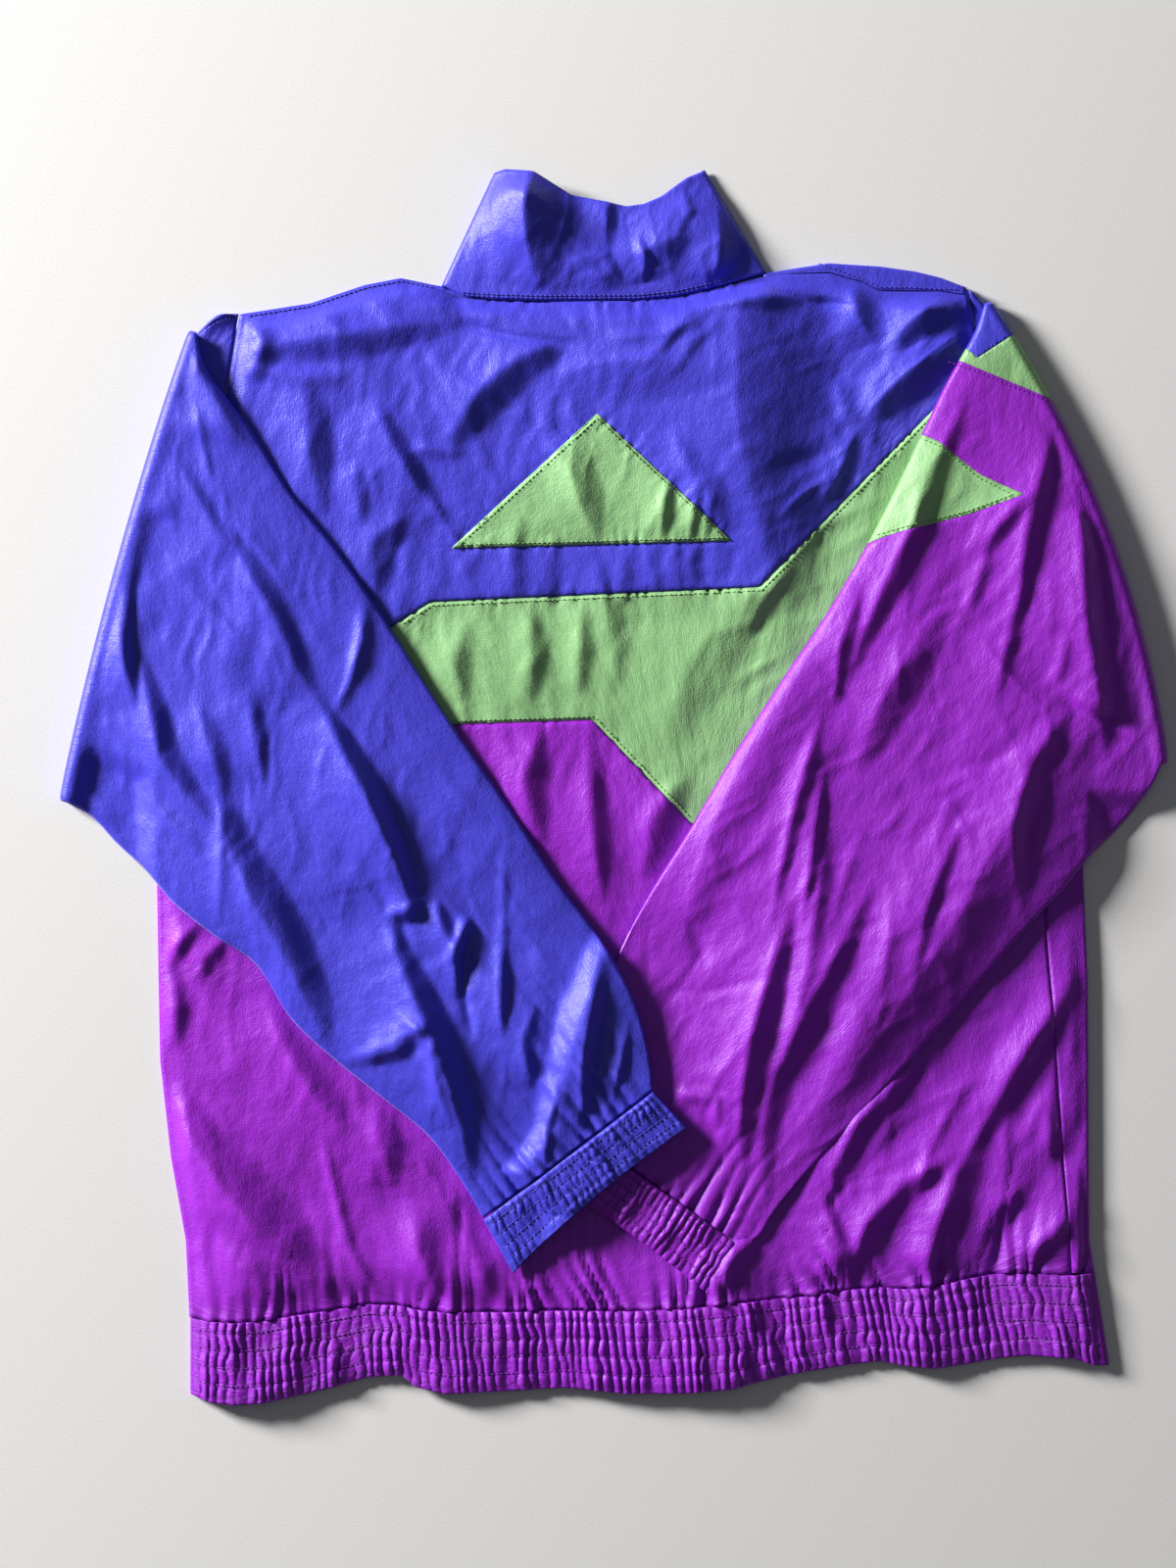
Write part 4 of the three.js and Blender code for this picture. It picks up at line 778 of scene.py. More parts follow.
def sleeve_grid(entry, axis, run, side, rest, loft_at, relief):
    """A flattened tube from the armhole, over its fold and down to the cuff."""
    cols = SLEEVE_COLUMNS
    entry_half, centre = (EDGE_MID - HALF) / 2, (EDGE_MID + HALF) / 2
    first = {k: np.append(v, axis[k]) for k, v in entry.items()}
    entry_stations = spline(first, ENTRY_RINGS + 1)[0][:-1]
    rings = [turning_ring(s, cols, side, 0, centre, entry_half, 0) for s in entry_stations]
    end_centre = BACK_MID + HALF + LAYER_GAP + FOLD_REST
    radius = (end_centre - centre) / 2
    for k in range(BEND_STEPS):
        t = k / BEND_STEPS
        tilt = math.pi * t
        rings.append(turning_ring(axis, cols, side, tilt, centre + radius * (1 - math.cos(tilt)),
                                  mix(entry_half, FOLD_HALF, t), radius * math.sin(tilt)))
    creased = [np.zeros(cols + 1)] * len(rings)
    fold_length = math.hypot(axis["ax"] - axis["ox"], axis["ay"] - axis["oy"])
    from_over_arm = (1 - np.cos(around(cols, side))) / 2 * fold_length
    for k in range(ENTRY_RINGS):
        rise = ARMHOLE_RIM * math.sin(math.pi * k / ENTRY_RINGS)
        rings[k][:, 2] += rise * np.exp(-((from_over_arm / ARMHOLE_RIM_WIDTH) ** 2))
    whole = {k: np.insert(v, 0, axis[k]) for k, v in run.items()}
    stations, lengths = spline(whole, SLEEVE_ROWS)
    for station, length in zip(stations, lengths):
        lying, share = lying_ring(station, cols, side, rest, loft_at(length / lengths[-1]))
        turned = turning_ring(station, cols, side, math.pi, end_centre, FOLD_HALF, 0)
        settled = smooth(length / FOLD_BLEND)
        rings.append(mix(turned, lying, settled))
        creased.append(share * settled)
    grid = np.array(rings)
    grid[..., 2] += np.array(creased) * relief(grid[..., 0], grid[..., 1])
    return grid


# Making pieces

def deselect():
    if bpy.context.object and bpy.context.object.mode != "OBJECT":
        bpy.ops.object.mode_set(mode="OBJECT")
    bpy.ops.object.select_all(action="DESELECT")


def activate(piece):
    deselect()
    piece.select_set(True)
    bpy.context.view_layer.objects.active = piece


def cloth(name, grid, ring=False, thickness=CLOTH_THICKNESS):
    """A cloth sheet on a grid of middle points, with its own lengths as its UV map in metres."""
    rows, cols = grid.shape[:2]
    deselect()
    bpy.ops.mesh.primitive_grid_add(x_subdivisions=cols - 1, y_subdivisions=rows - 1, size=2)
    piece = bpy.context.object
    piece.name = piece.data.name = name
    mesh = piece.data
    flat = np.empty(len(mesh.vertices) * 3)
    mesh.vertices.foreach_get("co", flat)
    flat = flat.reshape(-1, 3)
    j = np.rint((flat[:, 0] + 1) / 2 * (cols - 1)).astype(int)
    i = np.rint((flat[:, 1] + 1) / 2 * (rows - 1)).astype(int)
    mesh.vertices.foreach_set("co", (grid[i, j] * MM).ravel())
    across = np.cumsum(np.linalg.norm(np.diff(grid, axis=1, prepend=grid[:, :1]), axis=2), axis=1)
    along = np.cumsum(np.linalg.norm(np.diff(grid, axis=0, prepend=grid[:1]), axis=2), axis=0)
    across -= across[:, -1:] / 2
    along = np.repeat(along.mean(axis=1, keepdims=True), cols, axis=1)
    lengths = np.stack([across[i, j], along[i, j]], axis=1) * MM
    corner = np.empty(len(mesh.loops), int)
    mesh.loops.foreach_get("vertex_index", corner)
    mesh.uv_layers.active.data.foreach_set("uv", lengths[corner].ravel())
    mesh.update()
    if ring:
        activate(piece)
        bpy.ops.object.mode_set(mode="EDIT")
        bpy.ops.mesh.select_all(action="SELECT")
        bpy.ops.mesh.remove_doubles(threshold=1e-7)
        bpy.ops.object.mode_set(mode="OBJECT")
    return finish_cloth(piece, thickness) if thickness else piece


def finish_cloth(piece, thickness=CLOTH_THICKNESS):
    activate(piece)
    wall = piece.modifiers.new("wall", "SOLIDIFY")
    wall.thickness = thickness * MM
    wall.offset = 0
    bpy.ops.object.modifier_apply(modifier=wall.name)
    bpy.ops.object.shade_smooth()
    return piece


def settle(piece, material, nodes, body=JACKET):
    piece.data.materials.clear()
    piece.data.materials.append(material)
    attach(piece, body)
    if nodes:
        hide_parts(*nodes)
    return piece


# Materials: the cloth's pattern is sized by its own lengths in metres

PURPLE = {"colour": (0.066, 0.06, 0.7), "deep": (0.04, 0.034, 0.48), "sheen": (0.45, 0.45, 1)}
MAGENTA = {"colour": (0.32, 0.017, 0.62), "deep": (0.23, 0.008, 0.4), "sheen": (1, 0.5, 1)}
GREEN = {"colour": (0.30, 0.57, 0.26), "deep": (0.2, 0.42, 0.16), "sheen": (0.8, 1, 0.6)}
THREAD_SCALE = (1100, 330, 1)
PICK_SCALE = (300, 1300, 1)
PICK_HEIGHT = 0.6
CRUMPLE_SCALE = (95, 70, 1)
CRUMPLE_HEIGHT = 3.6
PATCH_SCALE = (24, 16, 1)
NYLON_ROUGHNESS = 0.4
BUMP_HEIGHT = 0.0005
GRAIN_SCALE = 900


def node_group(name, inputs, outputs):
    group = bpy.data.node_groups.new(name, "ShaderNodeTree")
    for label, kind, value in inputs:
        socket = group.interface.new_socket(label, in_out="INPUT", socket_type=kind)
        socket.default_value = value
    for label, kind in outputs:
        group.interface.new_socket(label, in_out="OUTPUT", socket_type=kind)
    return group, group.nodes.new("NodeGroupInput"), group.nodes.new("NodeGroupOutput")


def weave_group():
    """Colour, roughness and height of thin crinkled nylon over its own lengths in metres."""
    group, given, result = node_group("crinkled_nylon", [
        ("Colour", "NodeSocketColor", (0.5, 0.5, 0.5, 1)),
        ("Deep Colour", "NodeSocketColor", (0.2, 0.2, 0.2, 1)),
    ], [("Colour", "NodeSocketColor"), ("Roughness", "NodeSocketFloat"), ("Height", "NodeSocketFloat")])
    make, link = group.nodes.new, group.links.new
    place = make("ShaderNodeTexCoord")

    def streaks(detail, size):
        turn = make("ShaderNodeMapping")
        turn.inputs["Scale"].default_value = size
        pattern = make("ShaderNodeTexNoise")
        pattern.inputs["Scale"].default_value = 1
        pattern.inputs["Detail"].default_value = detail
        link(place.outputs["UV"], turn.inputs["Vector"])
        link(turn.outputs["Vector"], pattern.inputs["Vector"])
        return pattern.outputs["Fac"]

    def math_node(operation, a, b):
        node = make("ShaderNodeMath")
        node.operation = operation
        for socket, value in zip(node.inputs, (a, b)):
            if isinstance(value, (int, float)):
                socket.default_value = value
            else:
                link(value, socket)
        return node.outputs[0]

    threads = streaks(2, THREAD_SCALE)
    picks = streaks(1, PICK_SCALE)
    crumple = streaks(5, CRUMPLE_SCALE)
    patches = streaks(3, PATCH_SCALE)
    weave = math_node("ADD", threads, math_node("MULTIPLY", picks, PICK_HEIGHT))
    link(math_node("ADD", weave, math_node("MULTIPLY", crumple, CRUMPLE_HEIGHT)), result.inputs["Height"])
    shade = make("ShaderNodeMix")
    shade.data_type = "RGBA"
    tone = math_node("ADD", math_node("MULTIPLY", patches, 0.5), math_node("MULTIPLY", threads, 0.32))
    link(math_node("SUBTRACT", tone, 0.2), shade.inputs["Factor"])
    link(given.outputs["Colour"], shade.inputs["A"])
    link(given.outputs["Deep Colour"], shade.inputs["B"])
    link(shade.outputs["Result"], result.inputs["Colour"])
    dull = math_node("ADD", math_node("MULTIPLY", patches, 0.14), NYLON_ROUGHNESS)
    link(dull, result.inputs["Roughness"])
    return group


def nylon(name, weave, colour, deep, sheen):
    material = bpy.data.materials.new(name)
    material.use_nodes = True
    tree = material.node_tree
    surface = tree.nodes["Principled BSDF"]
    cloth_node = tree.nodes.new("ShaderNodeGroup")
    cloth_node.node_tree = weave
    cloth_node.inputs["Colour"].default_value = (*colour, 1)
    cloth_node.inputs["Deep Colour"].default_value = (*deep, 1)
    bump = tree.nodes.new("ShaderNodeBump")
    bump.inputs["Strength"].default_value = 0.6
    bump.inputs["Distance"].default_value = BUMP_HEIGHT
    tree.links.new(cloth_node.outputs["Colour"], surface.inputs["Base Color"])
    tree.links.new(cloth_node.outputs["Roughness"], surface.inputs["Roughness"])
    tree.links.new(cloth_node.outputs["Height"], bump.inputs["Height"])
    tree.links.new(bump.outputs["Normal"], surface.inputs["Normal"])
    surface.inputs["Specular IOR Level"].default_value = 0.45
    surface.inputs["Sheen Weight"].default_value = 0.25
    surface.inputs["Sheen Roughness"].default_value = 0.35
    surface.inputs["Sheen Tint"].default_value = (*sheen, 1)
    return material


def plain(name, colour, roughness, metallic=0.0):
    material = bpy.data.materials.new(name)
    material.use_nodes = True
    tree = material.node_tree
    surface = tree.nodes["Principled BSDF"]
    place = tree.nodes.new("ShaderNodeTexCoord")
    grain = tree.nodes.new("ShaderNodeTexNoise")
    grain.inputs["Scale"].default_value = GRAIN_SCALE
    grain.inputs["Detail"].default_value = 3
    span = tree.nodes.new("ShaderNodeMapRange")
    span.inputs["To Min"].default_value = roughness - 0.08
    span.inputs["To Max"].default_value = roughness + 0.12
    shade = tree.nodes.new("ShaderNodeMix")
    shade.data_type = "RGBA"
    shade.inputs["A"].default_value = (*colour, 1)
    shade.inputs["B"].default_value = (*[c * 0.7 for c in colour], 1)
    tree.links.new(place.outputs["Object"], grain.inputs["Vector"])
    tree.links.new(grain.outputs["Fac"], span.inputs["Value"])
    tree.links.new(grain.outputs["Fac"], shade.inputs["Factor"])
    tree.links.new(span.outputs["Result"], surface.inputs["Roughness"])
    tree.links.new(shade.outputs["Result"], surface.inputs["Base Color"])
    surface.inputs["Metallic"].default_value = metallic
    return material


# Body

def back_right_edge(y):
    return np.where(y < FRONT_SEAM_Y, side_seam_x(y) - SEAM_GAP, right_x(y))


def make_back(purple, magenta, green):
    gap = SEAM_GAP / 2
    x, y = patch(left_x, back_right_edge, lambda x: band_top_y(x) + gap, lambda x: back_top_y(x) - SEAM_GAP,
                 BODY_SPACING, 510, 240)
    settle(cloth("yoke_cloth", stack(x, y, back_height(x, y))), purple, ["back_yoke"])
    x, y = patch(left_x, back_right_edge, lambda x: band_low_y(x) + gap, lambda x: band_top_y(x) - gap,
                 BODY_SPACING, 550, 110)
    settle(cloth("band_cloth", stack(x, y, back_height(x, y))), green, ["back_band"])
    x, y = patch(left_x, back_right_edge, lambda x: waist_seam_y(x) + SEAM_GAP, lambda x: band_low_y(x) - gap,
                 BODY_SPACING, 585, 380)
    settle(cloth("lower_back_cloth", stack(x, y, back_height(x, y))), magenta,
           ["back_lower"])

    def side(a, b):
        return lambda y: np.interp(y, [a[1], b[1]], [a[0], b[0]])

    apex_low = (TRIANGLE_APEX[0] - 0.4, TRIANGLE_APEX[1])
    apex_high = (TRIANGLE_APEX[0] + 0.4, TRIANGLE_APEX[1])
    base = side((TRIANGLE_LEFT[1], TRIANGLE_LEFT[0]), (TRIANGLE_RIGHT[1], TRIANGLE_RIGHT[0]))
    x, y = patch(side(TRIANGLE_LEFT, apex_low), side(TRIANGLE_RIGHT, apex_high), base,
                 lambda x: TRIANGLE_APEX[1] + 0 * x, TRIANGLE_SPACING, 180, 86)
    settle(cloth("triangle_cloth", stack(x, y, back_height(x, y) + TRIANGLE_LIFT)), green,
           ["back_triangle"])


def turn_up(top_height, count=10):
    """Distances in from an edge and heights of cloth that turns up round it."""
    radius = (top_height - HALF) / 2
    angle = np.linspace(0, math.pi, count)
    return HALF + radius - radius * np.sin(angle), HALF + radius - radius * np.cos(angle)


def floor_height(x, y, seed):
    """Low creases of the hidden fronts, which never go below the flat rest."""
    return HALF + FLOOR_CREASE * np.tanh(0.6 * np.abs(crinkle(x, y, seed, 90)))


def make_fronts(purple, magenta):
    def zip_edge(side):
        return lambda y: zip_x(y) + side * (ZIP_HALF_WIDTH + SEAM_GAP)

    def neck_edge(rows, side):
        neck = reader(rows, "y", "x")
        choose = np.maximum if side > 0 else np.minimum
        return lambda y: np.where(y > rows["y"][1], choose(neck(y), zip_edge(side)(y)), zip_edge(side)(y))

    shoulder = reader(LEFT_SHOULDER, "x", "y")
    x, y = patch(left_x, neck_edge(FRONT_NECK_LEFT, -1), lambda x: FRONT_SEAM_Y + SEAM_GAP + 0 * x, shoulder,
                 FRONT_SPACING, 270, 310)
    settle(cloth("left_front_yoke_cloth", stack(x, y, floor_height(x, y, 71))), purple,
           ["front_left_yoke"])
    x, y = patch(left_x, zip_edge(-1), lambda x: waist_seam_y(x) + SEAM_GAP, lambda x: FRONT_SEAM_Y + 0 * x,
                 FRONT_SPACING, 290, 340)
    settle(cloth("left_front_cloth", stack(x, y, floor_height(x, y, 72))), magenta,
           ["front_left_lower"])
    flat = HALF + TURN_RADIUS
    x, y = patch(neck_edge(FRONT_NECK_RIGHT, 1), right_x, lambda x: FRONT_SEAM_Y + SEAM_GAP + 0 * x,
                 lambda x: shoulder_fold_y(x) - flat, FRONT_SPACING, 280, 310)
    z = floor_height(x, y, 73)
    inset, rise = turn_up(BACK_MID)
    end_x = x[-1]
    rows = [(end_x, shoulder_fold_y(end_x) - a, 0 * end_x + b) for a, b in zip(inset[1:], rise[1:])]
    seam = np.minimum(back_top_y(end_x) + HALF / 2, shoulder_fold_y(end_x) - flat - 1)
    for t in np.linspace(0, 1, 8)[1:]:
        y_row = mix(shoulder_fold_y(end_x) - flat, seam, t)
        rows.append((end_x, y_row, mix(BACK_MID + 0 * end_x, back_height(end_x, seam), t)))
    grid = np.concatenate([stack(x, y, z), np.array([stack(*row) for row in rows])])
    settle(cloth("right_front_yoke_cloth", grid), purple, ["front_right_yoke"])
    x, y = patch(zip_edge(1), lambda y: right_x(y) - flat, lambda x: waist_seam_y(x) + SEAM_GAP,
                 lambda x: FRONT_SEAM_Y + 0 * x, FRONT_SPACING, 290, 330)
    z = floor_height(x, y, 74)
    end_y = y[:, -1]
    columns = [stack(right_x(end_y) - a, end_y, 0 * end_y + b)
               for a, b in zip(*turn_up(BACK_MID + TURN_LIFT))][1:]
    seam = np.minimum(side_seam_x(end_y), right_x(end_y) - flat - 2)
    for t in np.linspace(0, 1, 10)[1:]:
        x_col = mix(right_x(end_y) - flat, seam, t)
        turned_z = BACK_MID + TURN_LIFT + 0 * end_y
        columns.append(stack(x_col, end_y, mix(turned_z, back_height(x_col, end_y), smooth(2 * t))))
    grid = np.concatenate([stack(x, y, z), np.stack(columns, axis=1)], axis=1)
    settle(cloth("right_front_cloth", grid), magenta, ["front_right_lower"])


# Elastic

def gathered(along, depth, count, length, seed):
    """Height of shirred cloth: uneven round pleats with narrow valleys, held down by rows of stitches."""
    spacing = length / count
    band = (depth - FIRST_ROW) / ROW_SPACING
    slow = noise(along, 0 * band, spacing * 4, seed)
    quick = noise(along, band * 9, 8, seed + 1)
    wander = spacing * (0.5 * slow + 0.3 * quick)
    valley = np.abs(np.cos(math.pi * (along + wander) / spacing))
    strength = np.clip(0.8 + 0.7 * noise(along, band * 3, spacing * 1.5, seed + 2), 0.3, 1.4)
    stitched = np.exp(-(((band - np.clip(np.round(band), 0, STITCH_ROWS - 1)) / 0.13) ** 2))
    tuck = 0.5 * stitched * np.abs(np.cos(2 * math.pi * (along + wander) / spacing))
    calm = mix(1, 0.55, smooth((depth - 0.86) / 0.12))
    return GATHER_HEIGHT * calm * valley**0.45 * strength * (1 - 0.3 * stitched) + tuck - 0.25 * stitched


def make_waistband(magenta):
    flat = HALF + TURN_RADIUS
    seam_y, edge_y = waist_seam_y, waist_edge_y
    depth = np.linspace(0, 1, WAIST_ROWS)
    columns = []
    middle = zip_x(ZIP_BOTTOM)
    left = mix(*WAIST_LEFT_END, depth)
    right = mix(*WAIST_RIGHT_END, depth)

    def zip_end(side):
        return zip_x(mix(seam_y(middle), edge_y(middle), depth)) + side * (ZIP_HALF_WIDTH + SEAM_GAP)

    def under_height(t, seed):
        half_length = (WAIST_RIGHT_END[0] - WAIST_LEFT_END[0]) / 2
        pleat = gathered(np.full(WAIST_ROWS, t * half_length), depth, WAIST_GATHERS / 2, half_length, seed)
        return HALF + UNDER_GATHER_SHARE * smooth(min(t, 1 - t) * 30) * pleat

    def add(x, z):
        columns.append(stack(x, mix(seam_y(x), edge_y(x), depth) + 0 * z, z))

    for t in np.linspace(0, 1, UNDER_COLUMNS, endpoint=False):
        add(mix(zip_end(1), right - flat, t), under_height(t, 84))
    inset, rise = turn_up(BACK_MID, 12)
    for a, b in zip(inset, rise):
        add(right - a, b + 0 * depth)
    length = right[0] - left[0]
    count = round(length / ELASTIC_SPACING)
    for k in range(1, count):
        t = k / count
        x = mix(right - flat, left + flat, t)
        swell = 1.2 * math.sin(math.pi * t) ** 0.3 * np.sin(math.pi * depth) ** 0.5 + waist_wave(x)
        ends_fade = smooth(min(t, 1 - t) * 60)
        fade = ends_fade * (0.8 + 0.2 * smooth(depth / 0.1))
        pleat = gathered(np.full(WAIST_ROWS, t * length), depth, WAIST_GATHERS, length, 81)
        add(x, BACK_MID - WAIST_DROP + swell + fade * pleat)
    for a, b in zip(inset[::-1], rise[::-1]):
        add(left + a, b + 0 * depth)
    for t in np.linspace(0, 1, UNDER_COLUMNS, endpoint=False) + 1 / UNDER_COLUMNS:
        add(mix(left + flat, zip_end(-1), t), under_height(t, 85))
    grid = np.stack(columns, axis=1)
    settle(cloth("waistband_cloth", grid), magenta, ["waistband"])


def make_cuff(name, ends_table, side, rest, loft, material, node, seed):
    start = {k: v[0] for k, v in ends_table.items()}
    end = {k: v[1] for k, v in ends_table.items()}
    width = math.hypot(start["ax"] - start["ox"], start["ay"] - start["oy"])
    cols = round(width / (ELASTIC_SPACING * UPPER_SHARE))
    rings = []
    for i in range(CUFF_ROWS):
        t = i / (CUFF_ROWS - 1)
        station = {k: mix(start[k], end[k], t) for k in start}
        ring, _ = lying_ring(station, cols, side, rest, loft - 1.2 * t)
        angle = around(cols, side)
        along = width * (1 - np.cos(angle)) / 2 * np.where(np.sin(angle) < 0, -1, 1)
        lift = gathered(along, np.full(cols + 1, t), CUFF_GATHERS, width, seed) * smooth(t / 0.08 + 0.3)
        lift *= np.clip(np.sin(angle), 0, 1) ** 0.3
        lift[0] = lift[-1] = 0
        ring[:, 2] += lift * 0.8
        rings.append(ring)
    settle(cloth(name, np.array(rings), ring=True), material, [node])


# Sleeves

def left_relief(x, y):
    form = step_height(LEFT_STEPS, x, y) + fold_height(LEFT_FOLDS, x, y) - SLEEVE_SINK
    form += 0.8 * crinkle(x, y, 21, 112) + cuff_puckers(LEFT_CUFF, x, y, 23)
    return form + scatter(x, y, (-340, -290, 20, 300), 190, 112, 26, 1.8, 22)


def right_relief(x, y):
    form = step_height(RIGHT_STEPS, x, y) + fold_height(RIGHT_FOLDS, x, y) - SLEEVE_SINK
    form += 0.8 * crinkle(x, y, 24, 72) + cuff_puckers(RIGHT_CUFF, x, y, 26)
    form += scatter(x, y, (-20, -290, 350, 300), 190, 70, 26, 1.8, 25)
    return form * mix(1, COVERED_SHARE, covered(LEFT_OUTLINE, x, y, 10))


def cuff_puckers(ends_table, x, y, seed):
    """Short pleats that run from a gathered cuff up the sleeve."""
    ox, oy, ax, ay = (ends_table[k][0] for k in ("ox", "oy", "ax", "ay"))
    length = math.hypot(ax - ox, ay - oy)
    dx, dy = (ax - ox) / length, (ay - oy) / length
    along = (x - ox) * dx + (y - oy) * dy
    away = np.abs((x - ox) * dy - (y - oy) * dx)
    wander = 4 * noise(along, away * 0.4, 18, seed)
    reach = np.clip(18 + 26 * noise(along, 0 * along, 13, seed + 1), 6, 46)
    folds = pleats(along, CUFF_PUCKER_SPACING, wander, seed + 2)
    return CUFF_PUCKER_HEIGHT * folds * np.exp(-away / reach)


def make_left_sleeve(purple):
    def loft(u):
        return SLEEVE_LOFT * min(1, 0.65 + 1.6 * u) * (1 - 0.42 * float(smooth((u - 0.78) / 0.22)))

    grid = sleeve_grid(LEFT_ENTRY, LEFT_AXIS, LEFT_RUN, -1, rest_left, loft, left_relief)
    settle(cloth("left_sleeve_cloth", grid, ring=True), purple, ["left_sleeve"])


def select_faces(piece, chosen):
    """Select the faces that chosen picks from their centres, ready to edit."""
    bpy.ops.object.mode_set(mode="EDIT")
    bpy.ops.mesh.select_all(action="DESELECT")
    bpy.ops.object.mode_set(mode="OBJECT")
    faces = piece.data.polygons
    centres = np.empty(len(faces) * 3)
    faces.foreach_get("center", centres)
    faces.foreach_set("select", chosen(*centres.reshape(-1, 3).T / MM))
    bpy.ops.object.mode_set(mode="EDIT")
    bpy.ops.mesh.select_mode(type="FACE")


def cut_along(piece, line, low):
    """Cut the faces near each stretch of a line with an upright plane."""
    activate(piece)
    for a, b in zip(line, line[1:]):
        middle_x, middle_y = (a[0] + b[0]) / 2, (a[1] + b[1]) / 2
        reach = math.dist(a, b) / 2 + CUT_MARGIN
        select_faces(piece, lambda x, y, z: (np.hypot(x - middle_x, y - middle_y) < reach) & (z > low))
        normal = Vector((a[1] - b[1], b[0] - a[0], 0)).normalized()
        bpy.ops.mesh.bisect(plane_co=(a[0] * MM, a[1] * MM, 0), plane_no=normal)
        bpy.ops.object.mode_set(mode="OBJECT")


def separate(piece, chosen, name):
    """Split the faces that chosen picks into a piece of their own."""
    activate(piece)
    select_faces(piece, chosen)
    bpy.ops.mesh.separate(type="SELECTED")
    bpy.ops.object.mode_set(mode="OBJECT")
    part = next(o for o in bpy.context.selected_objects if o != piece)
    part.name = part.data.name = name
    return part


def make_right_sleeve(purple, magenta, green):
    def loft(u):
        return mix(SLEEVE_LOFT * min(1, 0.65 + 1.6 * u), UNDER_LOFT, float(smooth((u - 0.6) / 0.25)))

    grid = sleeve_grid(RIGHT_ENTRY, RIGHT_AXIS, RIGHT_RUN, 1, rest_right, loft, right_relief)
    main = cloth("right_sleeve_cloth", grid, ring=True, thickness=0)
    wedge_low = BACK_MID + HALF + SEAM_GAP
    cut_along(main, CAP_SEAM, -1)
    cut_along(main, SLEEVE_BAND_SEAM, -1)
    cut_along(main, WEDGE, wedge_low)
    cap_line = table("x y", CAP_SEAM)
    band_line = table("x y", SLEEVE_BAND_SEAM)

    def above(line):
        return lambda x, y, z: y > np.interp(x, line["x"], line["y"])

    def in_wedge(x, y, z):
        return inside_polygon(WEDGE, x, y) & (z > wedge_low)

    cap = separate(main, above(cap_line), "sleeve_cap_cloth")
    band = separate(main, above(band_line), "sleeve_band_cloth")
    wedge = separate(main, in_wedge, "sleeve_wedge_cloth")
    settle(finish_cloth(cap), purple, ["right_sleeve_cap"])
    settle(finish_cloth(band), green, ["right_sleeve_band"])
    settle(finish_cloth(wedge), green, ["right_sleeve_wedge"])
    settle(finish_cloth(main), magenta, ["right_sleeve_main"])


def make_collar(purple):
    keys = list(COLLAR)
    values = np.stack([COLLAR[k] for k in keys], axis=1)
    gaps = np.linalg.norm(np.diff(values[:, :3], axis=0), axis=1) + 0.5
    at = np.concatenate([[0], np.cumsum(gaps)])
    want = np.linspace(0, at[-1], COLLAR_COLUMNS)
    column = {k: np.interp(want, at, COLLAR[k]) for k in keys}
    v = np.linspace(0, 1, COLLAR_ROWS)[:, None]
    x = mix(column["bx"], column["tx"], v)
    y = mix(column["by"], column["ty"], v)
    z = mix(column["bz"], column["tz"], v) + column["puff"] * np.sin(math.pi * v)
    on_top = smooth((column["bz"] - 4) / 2) * smooth((x + 96) / 12)
    form = step_height(COLLAR_STEPS, x, y) + 0.7 * crinkle(x * 1.3, y * 1.3, 91, 70)
    form += scatter(x, y, (-90, 315, 90, 392), 22, 70, 45, 1.2, 92) - 1.0
    z = z + on_top * form * smooth(v / 0.18) * mix(0.45, 1, smooth((1 - v) / 0.2))
    z = z + on_top * seam_pull(NECK_LINE, x, y, 8, 6, 0.9, 56)
    settle(cloth("collar_cloth", stack(x, y, z)), purple, ["collar"])


# Zip

def block(size, place, bevel, taper=1.0):
    """A bevelled block, sizes in millimetres, narrowed at its lower end."""
    deselect()
    middle = [v * MM for v in place]
    bpy.ops.mesh.primitive_cube_add(size=1, location=middle, scale=[v * MM for v in size])
    bpy.ops.object.transform_apply(location=True, rotation=True, scale=True)
    piece = bpy.context.object
    low = [v.co.y < middle[1] for v in piece.data.vertices]
    bpy.ops.object.mode_set(mode="EDIT")
    bpy.ops.mesh.select_mode(type="VERT")
    bpy.ops.mesh.select_all(action="DESELECT")
    bpy.ops.object.mode_set(mode="OBJECT")
    piece.data.vertices.foreach_set("select", low)
    bpy.ops.object.mode_set(mode="EDIT")
    bpy.ops.transform.resize(value=(taper, 1, 1), center_override=middle)
    bpy.ops.mesh.select_all(action="SELECT")
    bpy.ops.mesh.bevel(offset=bevel * MM, segments=2, affect="EDGES")
    bpy.ops.object.mode_set(mode="OBJECT")
    return piece


def rod(radius, length, place, turned=(0, 0, 0), sides=24):
    deselect()
    bpy.ops.mesh.primitive_cylinder_add(vertices=sides, radius=radius * MM, depth=length * MM,
                                        location=[v * MM for v in place], rotation=turned)
    bpy.ops.object.transform_apply(location=True, rotation=True, scale=True)
    return bpy.context.object


def join(parts, name):
    deselect()
    for part in parts:
        part.select_set(True)
    bpy.context.view_layer.objects.active = parts[0]
    bpy.ops.object.join()
    piece = bpy.context.object
    piece.name = piece.data.name = name
    return piece


def cut_out(piece, cutter):
    activate(piece)
    hole = piece.modifiers.new("hole", "BOOLEAN")
    hole.object = cutter
    hole.operation = "DIFFERENCE"
    bpy.ops.object.modifier_apply(modifier=hole.name)
    activate(cutter)
    bpy.ops.object.delete()
    return piece


